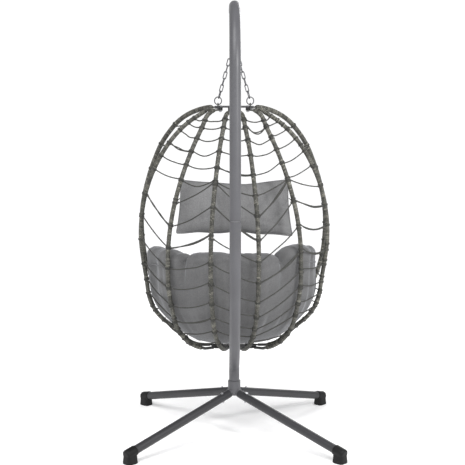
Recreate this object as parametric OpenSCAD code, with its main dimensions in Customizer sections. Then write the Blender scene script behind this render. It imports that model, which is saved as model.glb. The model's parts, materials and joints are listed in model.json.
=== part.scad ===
/* [Stand] */
// Distance between foot centres, side to side and front to back
foot_spacing = 890; // [850:10:940]
// Outer diameter of the pole tube
pole_d = 48; // [44:1:50]
// How far the pole bows back behind the base centre
pole_bow = 448; // [440:1:480]
// Outer diameter of the leg tubes
leg_d = 38; // [34:1:40]
// Height of the leg axis at the hub
leg_hub_z = 194; // [190:1:200]
// Height of the leg axis at the foot
leg_foot_z = 42; // [40:1:46]

/* [Hanging] */
// Forward offset of the hanging line from the base centre
hang_y = 20; // [10:1:25]
// Wire diameter of the chain links
chain_wire = 4.5; // [4:0.1:4.8]
// Half distance between the two lower rings
ring_x = 73; // [70:1:76]

/* [Basket] */
// How far the basket leans back as it hangs, in degrees
lean = 6.95; // [6.5:0.05:7.5]
// Outer diameter of the rib tubes
rib_d = 14; // [12:0.5:14]
// Outer diameter of the wicker wrap
wrap_d = 20; // [18:0.5:20]
// Half distance between the left and right pivot bolts
pivot_x = 62; // [60:0.5:64]
// Diameter of the net rope
rope_d = 5; // [4:0.5:5]

/* [Cushion] */
// Highest point of the cushion back and arms
cushion_top = 862; // [840:1:870]
// Width of the head pillow
pillow_w = 515; // [470:5:520]
// Height of the head pillow
pillow_h = 242; // [220:2:244]

/* [Hidden] */
$fn = 48;
// ---- small vector helpers
function unit(v) = v / norm(v);
function deg2(v) = atan2(v[1], v[0]);
function wrap180(a) = a > 180 ? a - 360 : a < -180 ? a + 360 : a;
// tangent at the end of the arc that leaves p along t and passes q
function t_next(p, q, t) = let (d = unit(q - p)) 2 * (t * d) * d - t;
// biarc joint between p (tangent t1) and q (tangent t2)
function joint(p, q, t1, t2) = let (v = q - p, t = t1 + t2, k = 2 * (1 - t1 * t2),
  dd = k < 1e-6 ? v * v / (4 * (v * t2)) : (-(v * t) + sqrt((v * t) * (v * t) + k * (v * v))) / k)
  (p + q + dd * (t1 - t2)) / 2;
function mid_t(a, b, c) = unit(unit(b - a) * norm(c - b) + unit(c - b) * norm(b - a));
// smooth chain of arcs [from, to, tangent at from] through hand-set points
function arcs(pts, t0, t1) = let (n = len(pts),
  ts = [for (i = [0 : n - 1]) i == 0 ? t0 : i == n - 1 ? t1 : mid_t(pts[i - 1], pts[i], pts[i + 1])])
  [for (i = [0 : n - 2]) let (m = joint(pts[i], pts[i + 1], ts[i], ts[i + 1]))
    each [[pts[i], m, ts[i]], [m, pts[i + 1], t_next(pts[i], m, ts[i])]]];
// plain tangent chain: every point is the end of one arc
function chain(pts, t, i = 0) = i >= len(pts) - 1 ? [] :
  concat([[pts[i], pts[i + 1], t]], chain(pts, t_next(pts[i], pts[i + 1], t), i + 1));
// signed turn of the arc from p to q leaving along t
function turn(p, q, t) = 2 * wrap180(deg2(q - p) - deg2(t));
function arc_r(p, q, t) = let (h = turn(p, q, t) / 2) norm(q - p) / (2 * sin(abs(h)));
function arc_c(p, q, t) = let (s = sign(turn(p, q, t)), r = arc_r(p, q, t)) p + r * s * [-t[1], t[0]];
// one arc of round tube, or of sleeve when di > 0, in the XY plane
module arc_piece(p, q, t, d, di) {
  h = turn(p, q, t);
  if (abs(h) < 0.2) {
    translate([p[0], p[1], 0]) rotate([0, 0, deg2(q - p)]) rotate([0, 90, 0])
      difference() { cylinder(d = d, h = norm(q - p)); if (di > 0) translate([0, 0, -1]) cylinder(d = di, h = norm(q - p) + 2); }
  } else {
    c = arc_c(p, q, t); r = arc_r(p, q, t); s = sign(h);
    a0 = deg2(p - c); a1 = s > 0 ? a0 : a0 + h;
    translate([c[0], c[1], 0]) rotate([0, 0, a1]) rotate_extrude(angle = abs(h), $fn = 120)
      translate([r, 0]) difference() { circle(d = d, $fn = 24); if (di > 0) circle(d = di, $fn = 24); }
  }
}
module arc_tube(segs, d, di, i0 = 0, i1 = 1000) {
  for (i = [i0 : min(i1, len(segs)) - 1]) arc_piece(segs[i][0], segs[i][1], segs[i][2], d, di);
}
function rot2(v, a) = [v[0] * cos(a) - v[1] * sin(a), v[0] * sin(a) + v[1] * cos(a)];
// stations [point, tangent] along the arcs, n steps on each
function stations(segs, steps, i0, i1) = concat([[segs[i0][0], segs[i0][2]]],
  [for (i = [i0 : i1 - 1]) let (p = segs[i][0], q = segs[i][1], t = segs[i][2], h = turn(p, q, t), n = steps[i % len(steps)])
    each [for (k = [1 : n]) abs(h) < 0.2 ? [p + (q - p) * k / n, t] :
      let (c = arc_c(p, q, t)) [c + rot2(p - c, h * k / n), rot2(t, h * k / n)]]]);
// hollow tube of ns sides swept through the stations, in the XY plane
module sleeve(segs, d, di, ns = 8, steps = [1], i0 = 0, i1 = -1) {
  st = stations(segs, steps, i0, i1 < 0 ? len(segs) : i1); m = len(st);
  pts = [for (r = [d / 2, di / 2], k = [0 : m - 1], j = [0 : ns - 1]) let (a = j * 360 / ns, n = [-st[k][1][1], st[k][1][0]])
    [st[k][0][0] + r * cos(a) * n[0], st[k][0][1] + r * cos(a) * n[1], r * sin(a)]];
  w = m * ns;
  polyhedron(pts, concat(
    [for (k = [0 : m - 2], j = [0 : ns - 1]) let (a = k * ns + j, b = k * ns + (j + 1) % ns) each [[a, b + ns, b], [a, a + ns, b + ns]]],
    [for (k = [0 : m - 2], j = [0 : ns - 1]) let (a = w + k * ns + j, b = w + k * ns + (j + 1) % ns) each [[a, b, b + ns], [a, b + ns, a + ns]]],
    [for (j = [0 : ns - 1]) let (a = j, b = (j + 1) % ns) each [[a, b, w + b], [a, w + b, w + a]]],
    [for (j = [0 : ns - 1]) let (a = (m - 1) * ns + j, b = (m - 1) * ns + (j + 1) % ns) each [[a, w + b, b], [a, w + a, w + b]]]));
}
// radial distance of the chain at height z (the chain runs downwards)
function rho_at(segs, z, i = 0) = let (p = segs[i][0], q = segs[i][1], t = segs[i][2])
  (z >= q[1] || i >= len(segs) - 1) ?
    (abs(turn(p, q, t)) < 0.2 ? p[0] + (q[0] - p[0]) * (p[1] - z) / (p[1] - q[1]) :
      let (c = arc_c(p, q, t), r = arc_r(p, q, t), u = sqrt(max(0, r * r - (z - c[1]) * (z - c[1]))))
      (p[0] + q[0]) / 2 > c[0] ? c[0] + u : c[0] - u) :
    rho_at(segs, z, i + 1);

// ---- stand
pole_z0 = 175;
leg_ang = atan((leg_hub_z - leg_foot_z) / (foot_spacing / 2 * sqrt(2) + 14));
corner = [foot_spacing / 2, foot_spacing / 2];
joint_z = 1032;
pole_bend = 2 * atan(pole_bow / (joint_z - 247));
pole_mid = [-pole_bow, joint_z];
// side path of the pole, [Y, Z]
low_r1 = 100;
low_r2 = (pole_bow / (1 - cos(pole_bend))) - low_r1;
low_pts = [[0, pole_z0], [0, joint_z - (low_r1 + low_r2) * sin(pole_bend)],
  [-low_r1 * (1 - cos(pole_bend)), joint_z - low_r2 * sin(pole_bend)], pole_mid];
bend_z = 1649;
up_pts = [pole_mid, [-pole_bow + 2000 * (1 - cos(6)), joint_z + 2000 * sin(6)],
  [-pole_bow + 54.9, bend_z], [-pole_bow + 54.9 + 330 * cos(6), bend_z + 330 * (1 - sin(6))],
  [-pole_bow + 54.9 + 330 * cos(6) + 30, bend_z + 330 * (1 - sin(6))],
  [-pole_bow + 54.9 + 330 * cos(6) + 30 + 330 * sin(15), bend_z + 330 * (1 - sin(6)) - 330 * (1 - cos(15))]];
arm_end = up_pts[5];
// place an XY-plane path in the world YZ plane
module yz() { rotate([90, 0, 90]) children(); }

module at_corners(i) {
  sx = i % 2 == 0 ? -1 : 1; sy = i < 2 ? -1 : 1;
  rotate([0, 0, atan2(sy, sx)]) children();
}
module hub() color([0.30, 0.30, 0.31]) difference() {
  union() {
    translate([0, 0, pole_z0 + 6]) cylinder(d = pole_d + 10, h = 62);
    for (i = [0 : 3]) at_corners(i) translate([0, 0, leg_hub_z]) rotate([0, 90 + leg_ang, 0])
      translate([0, 0, 20]) difference() {
        cylinder(d = leg_d - 3.4, h = 90);
        translate([0, 0, 30]) cylinder(d = leg_d - 9, h = 90);
      }
  }
  translate([0, 0, pole_z0 - 10]) cylinder(d = pole_d + 0.1, h = 120);
  for (i = [0 : 3]) at_corners(i) translate([0, 0, leg_hub_z]) rotate([0, 90 + leg_ang, 0])
    translate([0, 0, 78]) rotate([0, 90, 0]) translate([0, 0, -60]) cylinder(d = 6.6, h = 120);
  translate([0, 0, pole_z0 + 50]) rotate([-90, 0, 0]) cylinder(d = 6.6, h = 60);
}
leg_len = norm([foot_spacing / 2 * sqrt(2) + 14, leg_hub_z - leg_foot_z]);
module leg(i) color([0.32, 0.32, 0.33]) at_corners(i) translate([0, 0, leg_hub_z]) rotate([0, 90 + leg_ang, 0])
  difference() {
    translate([0, 0, 36]) cylinder(d = leg_d, h = leg_len - 36);
    translate([0, 0, 30]) cylinder(d = leg_d - 3.2, h = leg_len);
    translate([0, 0, 78]) rotate([0, 90, 0]) translate([0, 0, -60]) cylinder(d = 6.6, h = 120);
  }
module foot(i) color([0.05, 0.05, 0.05]) difference() {
  union() {
    at_corners(i) translate([0, 0, leg_hub_z]) rotate([0, 90 + leg_ang, 0]) translate([0, 0, leg_len - 44]) cylinder(d = leg_d + 6, h = 56);
    at_corners(i) translate([foot_spacing / 2 * sqrt(2) - 28, -25, 0]) cube([56, 50, leg_foot_z]);
  }
  at_corners(i) translate([0, 0, leg_hub_z]) rotate([0, 90 + leg_ang, 0]) translate([0, 0, leg_len - 60]) cylinder(d = leg_d, h = 60);
}
module leg_bolts() color([0.75, 0.75, 0.76]) for (i = [0 : 3]) at_corners(i) translate([0, 0, leg_hub_z])
  rotate([0, 90 + leg_ang, 0]) translate([0, 0, 78]) rotate([0, 90, 0]) {
    translate([0, 0, -leg_d / 2 - 4]) cylinder(d = 12, h = 4);
    translate([0, 0, -leg_d / 2 - 0.5]) cylinder(d = 6, h = leg_d + 11);
  }
module leg_nuts() color([0.70, 0.70, 0.71]) for (i = [0 : 3]) at_corners(i) translate([0, 0, leg_hub_z])
  rotate([0, 90 + leg_ang, 0]) translate([0, 0, 78]) rotate([0, 90, 0])
    translate([0, 0, leg_d / 2]) difference() { cylinder(d = 12, h = 6, $fn = 6); translate([0, 0, -1]) cylinder(d = 6.1, h = 9, $fn = 32); }
module collar_bolt() color([0.2, 0.2, 0.2]) translate([0, 0, pole_z0 + 50]) rotate([-90, 0, 0]) {
  translate([0, 0, pole_d / 2 - 4]) cylinder(d = 6, h = 10);
  translate([0, 0, pole_d / 2 + 5]) cylinder(d = 12, h = 5);
}
module pole_lower() color([0.42, 0.42, 0.44]) difference() {
  yz() sleeve(chain(low_pts, [0, 1]), pole_d, pole_d - 4, 20, [1, 8, 10]);
  translate([0, 0, pole_z0 + 50]) rotate([-90, 0, 0]) cylinder(d = 6.6, h = 60);
  translate([0, -pole_bow, joint_z - 30]) rotate([-90, 0, 0]) cylinder(d = 5.4, h = 60);
}
module pole_upper() color([0.46, 0.46, 0.48]) difference() {
  yz() sleeve(chain(up_pts, [0, 1]), pole_d, pole_d - 4, 20, [2, 1, 10, 1, 2]);
  translate([0, -pole_bow, joint_z + 30]) rotate([-90, 0, 0]) cylinder(d = 5.4, h = 60);
}
module pole_spigot() color([0.5, 0.5, 0.5]) translate([0, -pole_bow, joint_z - 42]) difference() {
  cylinder(d = pole_d - 9.2, h = 84);
  translate([0, 0, -1]) cylinder(d = pole_d - 13, h = 86);
  for (z = [12, 72]) translate([0, 0, z]) rotate([-90, 0, 0]) cylinder(d = 4.2, h = 60);
}
module spigot_screws() color([0.3, 0.3, 0.3]) for (z = [joint_z - 30, joint_z + 30]) translate([0, -pole_bow, z]) rotate([-90, 0, 0]) {
  translate([0, 0, 18]) cylinder(d = 4, h = 9);
  translate([0, 0, pole_d / 2 + 2.1]) cylinder(d = 9, h = 2.3);
}
module arm_cap() color([0.05, 0.05, 0.05]) translate([0, arm_end[0], arm_end[1]]) rotate([-15, 0, 0]) rotate([-90, 0, 0]) {
  translate([0, 0, 0.2]) cylinder(d = pole_d, h = 4);
  translate([0, 0, -10]) cylinder(d = pole_d - 9, h = 10.5);
}
// eye under the arm: a ring in the YZ plane on a short stalk
eye_z = 1873;
module arm_eye() color([0.40, 0.40, 0.42]) difference() {
  union() {
    translate([0, hang_y, eye_z]) rotate([0, 90, 0]) rotate_extrude() translate([16, 0]) circle(d = 8, $fn = 32);
    translate([0, hang_y, eye_z + 15]) cylinder(d = 14, h = 45);
  }
  yz() arc_tube(chain(up_pts, [0, 1]), pole_d + 1.8, 0, 3, 5);
}

// ---- hanging hardware
link_z = 1864.7;     // wire centre at the top of the oval link
ring_c = [0, 1760];  // centre of the top ring, [X, Z]
top_r = 20;
low_r = 17;          // lower rings
low_z = 1534;
anchor = [-top_r * sin(45), ring_c[1] - top_r * cos(45)];
chain_d = unit([-ring_x, low_z] - anchor);
chain_a = atan2(-chain_d[0], -chain_d[1]);
module oval(c2c, wide, wire) {
  // oval link in the XZ plane, top wire centre at the origin, running down
  r = wide / 2 - wire / 2;
  for (s = [-1, 1]) translate([s * r, 0, -c2c + r]) cylinder(d = wire, h = c2c - 2 * r, $fn = 24);
  translate([0, 0, -r]) rotate([90, 0, 0]) rotate_extrude(angle = 180) translate([r, 0]) circle(d = wire, $fn = 24);
  translate([0, 0, -c2c + r]) rotate([90, 180, 0]) rotate_extrude(angle = 180) translate([r, 0]) circle(d = wire, $fn = 24);
}
module hang() { translate([0, hang_y, 0]) children(); }
module hook() color([0.62, 0.62, 0.64]) hang() translate([0, 0, link_z]) {
  oval(50, 27, 7);
  translate([10, 0, -33]) cylinder(d = 11, h = 16, $fn = 6);
}
module swivel_eye() color([0.62, 0.62, 0.64]) hang() difference() {
  union() {
    translate([0, 0, link_z - 54.3]) rotate([0, 90, 0]) rotate_extrude() translate([11, 0]) circle(d = 6, $fn = 24);
    translate([0, 0, link_z - 81.7]) cylinder(d = 18, h = 17);
  }
  translate([0, 0, link_z - 89.7]) cylinder(d = 8.12, h = 12);
  translate([0, 0, link_z - 78.7]) cylinder(d = 13, h = 9);
}
module top_ring() color([0.55, 0.55, 0.57]) hang() {
  translate([0, 0, ring_c[1]]) rotate([90, 0, 0]) rotate_extrude() translate([top_r, 0]) circle(d = 5, $fn = 24);
  translate([0, 0, ring_c[1] + top_r - 0.5]) cylinder(d = 8, h = 8);
  translate([0, 0, link_z - 77.7]) cylinder(d = 12, h = 5);
}
// seven equal links; each is turned a little more than a quarter, so that the
// last one stands square to the lower ring
module left_chain() translate([anchor[0], 0, anchor[1]]) rotate([0, chain_a, 0]) {
  top = 2.5 + chain_wire / 2 + 1.2;
  reach = norm([-ring_x, low_z] - anchor) - low_r + 2.5 + chain_wire / 2 + 1.1;
  pitch = (reach + top - chain_wire - 0.2) / 7;
  for (k = [0 : 6]) translate([0, 0, top - k * pitch]) rotate([0, 0, (k % 2 == 0 ? 90 : 0) - k * 20 / 6])
    oval(pitch + chain_wire + 0.2, 17.5, chain_wire);
}
module chain_left() color([0.22, 0.22, 0.23]) hang() left_chain();
module chain_right() color([0.22, 0.22, 0.23]) hang() mirror([1, 0, 0]) left_chain();
module low_ring() translate([-ring_x, 0, low_z]) rotate([0, 0, -20]) rotate([90, 0, 0])
  rotate_extrude() translate([low_r, 0]) circle(d = 5, $fn = 24);
module ring_left() color([0.22, 0.22, 0.23]) hang() low_ring();
module ring_right() color([0.22, 0.22, 0.23]) hang() mirror([1, 0, 0]) low_ring();

// ---- basket
// The ribs, net and pads are laid out by their heights in the hanging basket,
// and leaned() turns them about the line through the frame eyes.
eye_line = 1490.7;
module leaned() { hang() translate([0, 0, low_z - 20.3]) rotate([lean, 0, 0]) translate([0, 0, -eye_line]) children(); }
// the lower basket is drawn out a little longer and wider
bottom_drop = 48;
function down(z) = (1490 - z) / 1100;
function lower(z) = z + 2 + 27 * down(z) - 69 * pow(down(z), 2);
function grow(z) = 0.987 + 0.0605 * down(z);
// basket height of a point that hangs at height z, y behind or before the eyes
function level(z, y) = eye_line + (lower(z) - eye_line - y * sin(lean)) / cos(lean);
function settle(p) = let (y = p[1] * grow(p[2])) [p[0] * grow(p[2]), y, level(p[2], y)];
function lie(pts, az, y0) = [for (i = [0 : len(pts) - 1]) let (p = pts[i], r = p[0] * grow(p[1]))
  i == 0 ? p : i == len(pts) - 1 ? [p[0], p[1] - bottom_drop] : [r, level(p[1], y0 - r * cos(az))]];
// side paths of the ribs, [distance from the pivot line, Z], top to bottom
back_pts = [[54, 1468], [78, 1448], [122, 1384], [184, 1287], [251, 1155], [314, 961], [330, 820], [312, 618], [262, 492], [150, 408], [54, 391.5]];
side_pts = [[54, 1474.5], [83, 1454.6], [170, 1393.9], [211, 1352], [316, 1180], [368, 930], [350, 750], [304, 566], [201, 468], [122, 405], [54, 396.5]];
rim_pts = [[54, 1479.5], [92, 1475], [208, 1430], [292, 1352], [386, 1180], [438, 930], [392, 700], [330, 600], [232, 490], [132, 414], [54, 401.5]];
rear_pts = [[36, 1461], [62, 1445], [122, 1380], [193, 1287], [263, 1155], [329, 961], [345, 820], [321, 618], [262, 492], [138, 408], [36, 391.5]];
back_az = 44;
side_az = 77.5;
rim_az = 120;
rear_az = 13.7;
rear_x = 21;
back_z = [1469.5, 391.5 - bottom_drop]; side_z = [1474.5, 396.5 - bottom_drop]; rim_z = [1479.5, 401.5 - bottom_drop];
rear_z = [1461, 391.5 - bottom_drop];
back_s = arcs(lie(back_pts, back_az, 0), unit([1, -0.35]), [-1, 0]);
side_s = arcs(lie(side_pts, side_az, 0), [1, 0], [-1, 0]);
rim_s = arcs(lie(rim_pts, rim_az, 0), unit([1, -0.16]), [-1, 0]);
rear_s = arcs(lie(rear_pts, rear_az, -12), unit([1, -0.3]), [-1, 0]);
// point on a left rib that hangs at height z
function at(segs, az, x0, y0, z, b, n) = let (r = rho_at(segs, b), y = y0 - r * cos(az))
  n == 0 ? [-x0 - r * sin(az), y, b] : at(segs, az, x0, y0, z, level(z, y), n - 1);
function on_rib(segs, az, z) = at(segs, az, pivot_x, 0, z, level(z, -200 * cos(az)), 8);
function on_rear(z) = at(rear_s, rear_az, rear_x, -12, z, level(z, -250), 8);
module left_plane(az) { translate([-pivot_x, 0, 0]) rotate([0, 0, -90 - az]) rotate([90, 0, 0]) children(); }
module tab(z, az, len) {
  translate([-pivot_x, 0, z - 2]) rotate([0, 0, -90 - az]) {
    cylinder(d = 20, h = 4);
    translate([0, -6.3, 0]) cube([len, 12.6, 4]);
  }
}
module bore(z0, z1) { translate([-pivot_x, 0, z0]) cylinder(d = 8.12, h = z1 - z0); }
module left_rib(segs, zz, az) {
  left_plane(az) sleeve(segs, rib_d, rib_d - 2.6);
  for (z = zz) difference() { tab(z, az, segs[0][0][0] + 5); bore(z - 10, z + 10); }
}
module left_wrap(segs, az) left_plane(az) sleeve(segs, wrap_d, rib_d + 0.2, 8, [1], 2, len(segs) - 2);
module rear_place() { translate([-rear_x, -12, 0]) rotate([0, 0, -90 - rear_az]) rotate([90, 0, 0]) children(); }
module left_rear_rib() {
  rear_place() sleeve(rear_s, rib_d, rib_d - 2.6);
  for (z = rear_z) translate([-rear_x, -12, z - 2]) rotate([0, 0, -90 - rear_az]) difference() {
    union() { cylinder(d = 16, h = 4); translate([0, -6.3, 0]) cube([rear_s[0][0][0] + 5, 12.6, 4]); }
    translate([0, 0, -1]) cylinder(d = 6.6, h = 6);
  }
}
module left_rear_wrap() rear_place() sleeve(rear_s, wrap_d, rib_d + 0.2, 8, [1], 2, len(rear_s) - 2);
c_rib = [0.36, 0.36, 0.34]; c_wrap = [0.42, 0.42, 0.38];
module right() { mirror([1, 0, 0]) children(); }
module rib_rear_left() color(c_rib) leaned() left_rear_rib();
module rib_rear_right() color(c_rib) leaned() right() left_rear_rib();
module rib_back_left() color(c_rib) leaned() left_rib(back_s, back_z, back_az);
module rib_back_right() color(c_rib) leaned() right() left_rib(back_s, back_z, back_az);
module rib_side_left() color(c_rib) leaned() left_rib(side_s, side_z, side_az);
module rib_side_right() color(c_rib) leaned() right() left_rib(side_s, side_z, side_az);
module rim_left() color(c_rib) leaned() left_rib(rim_s, rim_z, rim_az);
module rim_right() color(c_rib) leaned() right() left_rib(rim_s, rim_z, rim_az);
module wrap_rear_left() color(c_wrap) leaned() left_rear_wrap();
module wrap_rear_right() color(c_wrap) leaned() right() left_rear_wrap();
module wrap_back_left() color(c_wrap) leaned() left_wrap(back_s, back_az);
module wrap_back_right() color(c_wrap) leaned() right() left_wrap(back_s, back_az);
module wrap_side_left() color(c_wrap) leaned() left_wrap(side_s, side_az);
module wrap_side_right() color(c_wrap) leaned() right() left_wrap(side_s, side_az);
module wrap_rim_left() color(c_wrap) leaned() left_wrap(rim_s, rim_az);
module wrap_rim_right() color(c_wrap) leaned() right() left_wrap(rim_s, rim_az);

// two plates carry the rib ends; bolts run through plate and tabs
module plate_shape(l, w) { hull() for (s = [-1, 1]) translate([s * (l / 2 - w / 2), 0]) circle(d = w); }
module top_plate() color([0.40, 0.40, 0.42]) leaned() difference() {
  union() {
    translate([0, 0, 1482]) linear_extrude(5) hull() for (s = [-1, 1]) translate([s * 70, 0]) circle(d = 40);
    for (s = [-1, 1]) translate([s * rear_x, -12, 1463.5]) cylinder(d = 14, h = 19);
  }
  for (s = [-1, 1]) {
    translate([s * pivot_x, 0, 1470]) cylinder(d = 8.12, h = 30);
    translate([s * rear_x, -12, 1450]) cylinder(d = 6.6, h = 50);
  }
}
module at_bottom() { translate([0, 0, -bottom_drop]) children(); }
module bottom_plate() color([0.40, 0.40, 0.42]) leaned() at_bottom() difference() {
  translate([0, -4, 384]) linear_extrude(5) hull() for (s = [-1, 1]) translate([s * 82, 0]) circle(d = 52);
  for (s = [-1, 1]) {
    translate([s * pivot_x, 0, 370]) cylinder(d = 8.12, h = 30);
    translate([s * rear_x, -12, 370]) cylinder(d = 6.6, h = 30);
  }
}
// loops on the plate that the lower rings pass
module left_frame_eye() translate([-ring_x, 0, 0]) {
  translate([0, 0, 1490.7]) rotate([90, 0, 90]) rotate_extrude(angle = 180) translate([9, 0]) circle(d = 6, $fn = 24);
  for (s = [-1, 1]) translate([0, s * 9, 1487]) cylinder(d = 6, h = 3.7, $fn = 24);
}
module frame_eye_left() color(c_wrap) leaned() left_frame_eye();
module frame_eye_right() color(c_wrap) leaned() right() left_frame_eye();
module top_bolts() color([0.85, 0.85, 0.86]) leaned() for (s = [-1, 1]) {
  translate([s * pivot_x, 0, 1460]) cylinder(d = 8, h = 27);
  translate([s * pivot_x, 0, 1487]) cylinder(d = 13, h = 3.4);
  translate([s * rear_x, -12, 1456]) cylinder(d = 6, h = 31);
  translate([s * rear_x, -12, 1487]) cylinder(d = 11, h = 4);
}
module nut6(z) { translate([0, -12, z]) difference() { cylinder(d = 11, h = 5, $fn = 6); translate([0, 0, -1]) cylinder(d = 6.1, h = 7, $fn = 32); } }
module top_nuts() color([0.80, 0.80, 0.81]) leaned() for (s = [-1, 1]) {
  translate([s * rear_x, 0, 0]) nut6(1453.8);
  translate([s * pivot_x, 0, 1460.5]) difference() { cylinder(d = 14, h = 6.2, $fn = 6); translate([0, 0, -1]) cylinder(d = 8.1, h = 9, $fn = 32); }
}
module bottom_bolts() color([0.85, 0.85, 0.86]) leaned() at_bottom() for (s = [-1, 1]) {
  translate([s * pivot_x, 0, 379]) cylinder(d = 8, h = 34);
  translate([s * pivot_x, 0, 380]) cylinder(d = 13, h = 4);
  translate([s * rear_x, -12, 380]) cylinder(d = 6, h = 18);
  translate([s * rear_x, -12, 380]) cylinder(d = 11, h = 4);
}
module bottom_nuts() color([0.80, 0.80, 0.81]) leaned() at_bottom() for (s = [-1, 1]) {
  translate([s * rear_x, 0, 0]) nut6(393.7);
  translate([s * pivot_x, 0, 404.2]) difference() { cylinder(d = 14, h = 6.2, $fn = 6); translate([0, 0, -1]) cylinder(d = 8.1, h = 9, $fn = 32); }
}

// ---- net: every strand is a sagging arc between two neighbouring ribs
module strand(a, b, sag, ta, tb) {
  v = b - a; gap0 = gap_of(ta, v); gap1 = gap_of(tb, v); p = a + unit(v) * gap0; q = b - unit(v) * gap1; l = norm(q - p);
  x = unit(v); y = unit(cross([0, 0, 1], x)); z = cross(x, y); m = (p + q) / 2;
  r = (l * l / 4 + sag * sag) / (2 * sag); half = asin(l / 2 / r);
  multmatrix([[x[0], y[0], z[0], m[0]], [x[1], y[1], z[1], m[1]], [x[2], y[2], z[2], m[2]]])
    translate([0, 0, r - sag]) rotate([90, 0, 0]) rotate([0, 0, -90 - half])
      rotate_extrude(angle = 2 * half, $fn = 120) translate([r, 0]) circle(d = rope_d, $fn = 16);
}
gap = wrap_d / 2 + 1;
// a strand that meets its rib at a slant stops further off, so that its end stays outside the winding
function gap_of(t, v) = let (c = abs(unit(t) * unit(v)), s = sqrt(1 - c * c)) (wrap_d / 2 + 1.6 + (rope_d / 2 + 0.8) * c) / s;
function rib_pt(k, z) = k == 0 ? on_rear(z) : k == 1 ? on_rib(back_s, back_az, z) : k == 2 ? on_rib(side_s, side_az, z) : on_rib(rim_s, rim_az, z);
function rib_dir(k, z) = rib_pt(k, z + 2) - rib_pt(k, z - 2);
function flip(p) = [-p[0], p[1], p[2]];

module bay_ribs(list, lo, hi) { for (k = list) strand(rib_pt(lo, k[0]), rib_pt(hi, k[1]), k[2], rib_dir(lo, k[0]), rib_dir(hi, k[1])); }
// [height at the inner rib, height at the outer rib, sag]
back_left_l = [[1420, 1420, 6], [1388, 1386, 6], [1340, 1338, 12], [1284, 1282, 18], [1216, 1222, 12], [1158, 1154, 22], [1148, 1058, 8], [1048, 960, 10], [930, 864, 10], [815, 776, 14], [728, 690, 14], [642, 610, 14], [572, 540, 12], [510, 484, 8], [450, 440, 6]];
back_right_l = [[1420, 1420, 8], [1389, 1387, 22], [1328, 1336, 16], [1265, 1290, 12], [1182, 1232, 10], [1097, 1157, 8], [1007, 1150, 8], [910, 1060, 10], [820, 950, 10], [728, 844, 12], [644, 758, 12], [575, 690, 12], [520, 618, 10], [484, 564, 8], [455, 480, 6]];
side_left_l = [[1420, 1430, 5], [1386, 1410, 6], [1338, 1376, 6], [1280, 1318, 6], [1222, 1262, 8], [1160, 1200, 8], [964, 1086, 8], [870, 988, 8], [778, 886, 8], [695, 775, 10], [616, 704, 10], [556, 644, 8], [505, 585, 8], [460, 520, 6], [430, 455, 5]];
side_right_l = [[1420, 1440, 5], [1396, 1418, 6], [1348, 1382, 6], [1290, 1338, 6], [1228, 1282, 8], [1166, 1218, 8], [1156, 1124, 8], [1065, 1038, 10], [962, 948, 18], [860, 838, 18], [774, 772, 10], [700, 694, 10], [627, 642, 10], [573, 584, 8], [505, 520, 8], [440, 455, 6]];
rim_left_l = [[1410, 1400, 7], [1318, 1306, 7], [1200, 1190, 7], [1086, 1070, 9], [988, 970, 9], [886, 868, 9], [775, 766, 9], [704, 690, 9], [644, 632, 9], [565, 560, 9], [490, 490, 9], [430, 436, 7]];
rim_right_l = [[1400, 1394, 7], [1308, 1300, 7], [1210, 1196, 7], [1124, 1110, 9], [1038, 1020, 9], [948, 930, 9], [864, 846, 9], [792, 776, 9], [716, 700, 9], [655, 640, 9], [598, 590, 9], [556, 548, 9], [490, 490, 9], [430, 436, 7]];
// [height at the left rear rib, height at the right rear rib, sag]
rear_l = [[1425, 1425, 4], [1385, 1383, 5], [1338, 1334, 8], [1282, 1268, 8], [1211, 1184, 8], [1150, 1096, 8], [1140, 1015, 8], [1044, 914, 8], [914, 820, 8], [806, 730, 10], [720, 648, 10], [636, 584, 10], [571, 524, 8], [511, 483, 8]];
module net_rear() color(c_wrap) leaned() for (k = rear_l) strand(rib_pt(0, k[0]), flip(rib_pt(0, k[1])), k[2], rib_dir(0, k[0]), flip(rib_dir(0, k[1])));
module net_back_left() color(c_wrap) leaned() bay_ribs(back_left_l, 0, 1);
module net_back_right() color(c_wrap) leaned() right() bay_ribs(back_right_l, 0, 1);
module net_side_left() color(c_wrap) leaned() bay_ribs(side_left_l, 1, 2);
module net_side_right() color(c_wrap) leaned() right() bay_ribs(side_right_l, 1, 2);
module net_rim_left() color(c_wrap) leaned() bay_ribs(rim_left_l, 2, 3);
module net_rim_right() color(c_wrap) leaned() right() bay_ribs(rim_right_l, 2, 3);

// ---- cushion: a padded bucket, laid out by direction (0 = rear) and a profile
half_w = [[400, 145], [430, 200], [470, 258], [520, 314], [560, 352], [620, 386], [700, 410], [780, 425], [862, 437], [1000, 437]];
rear_d = [[400, 76], [412, 122], [450, 200], [492, 246], [560, 295], [618, 318], [700, 335], [820, 345], [1000, 345]];
fit = 0.92;
seat_z = 525;
function front_d(z) = 195 * lookup(z, half_w) / 437;
function plan_r(a, z) = let (w = lookup(z, half_w), s = abs(sin(a)), c = cos(a),
  d = c > 0 ? lookup(z, rear_d) : front_d(z), n = c > 0 ? 2 : 3)
  fit / pow(pow(s / w, n) + pow(abs(c) / d, n), 1 / n);
function top_at(a) = let (b = abs(a)) b < 40 ? cushion_top - 16 + 0 * b : b < 60 ? cushion_top - 16 + (b - 40) * 0.8 :
  b < 95 ? cushion_top : b < 130 ? cushion_top - (cushion_top - 545) * (1 - cos((b - 95) / 35 * 180)) / 2 : 545;
function thick_at(a) = abs(a) < 60 ? 105 : 92;
n_az = 40; n_out = 8; n_in = 6;
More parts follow.
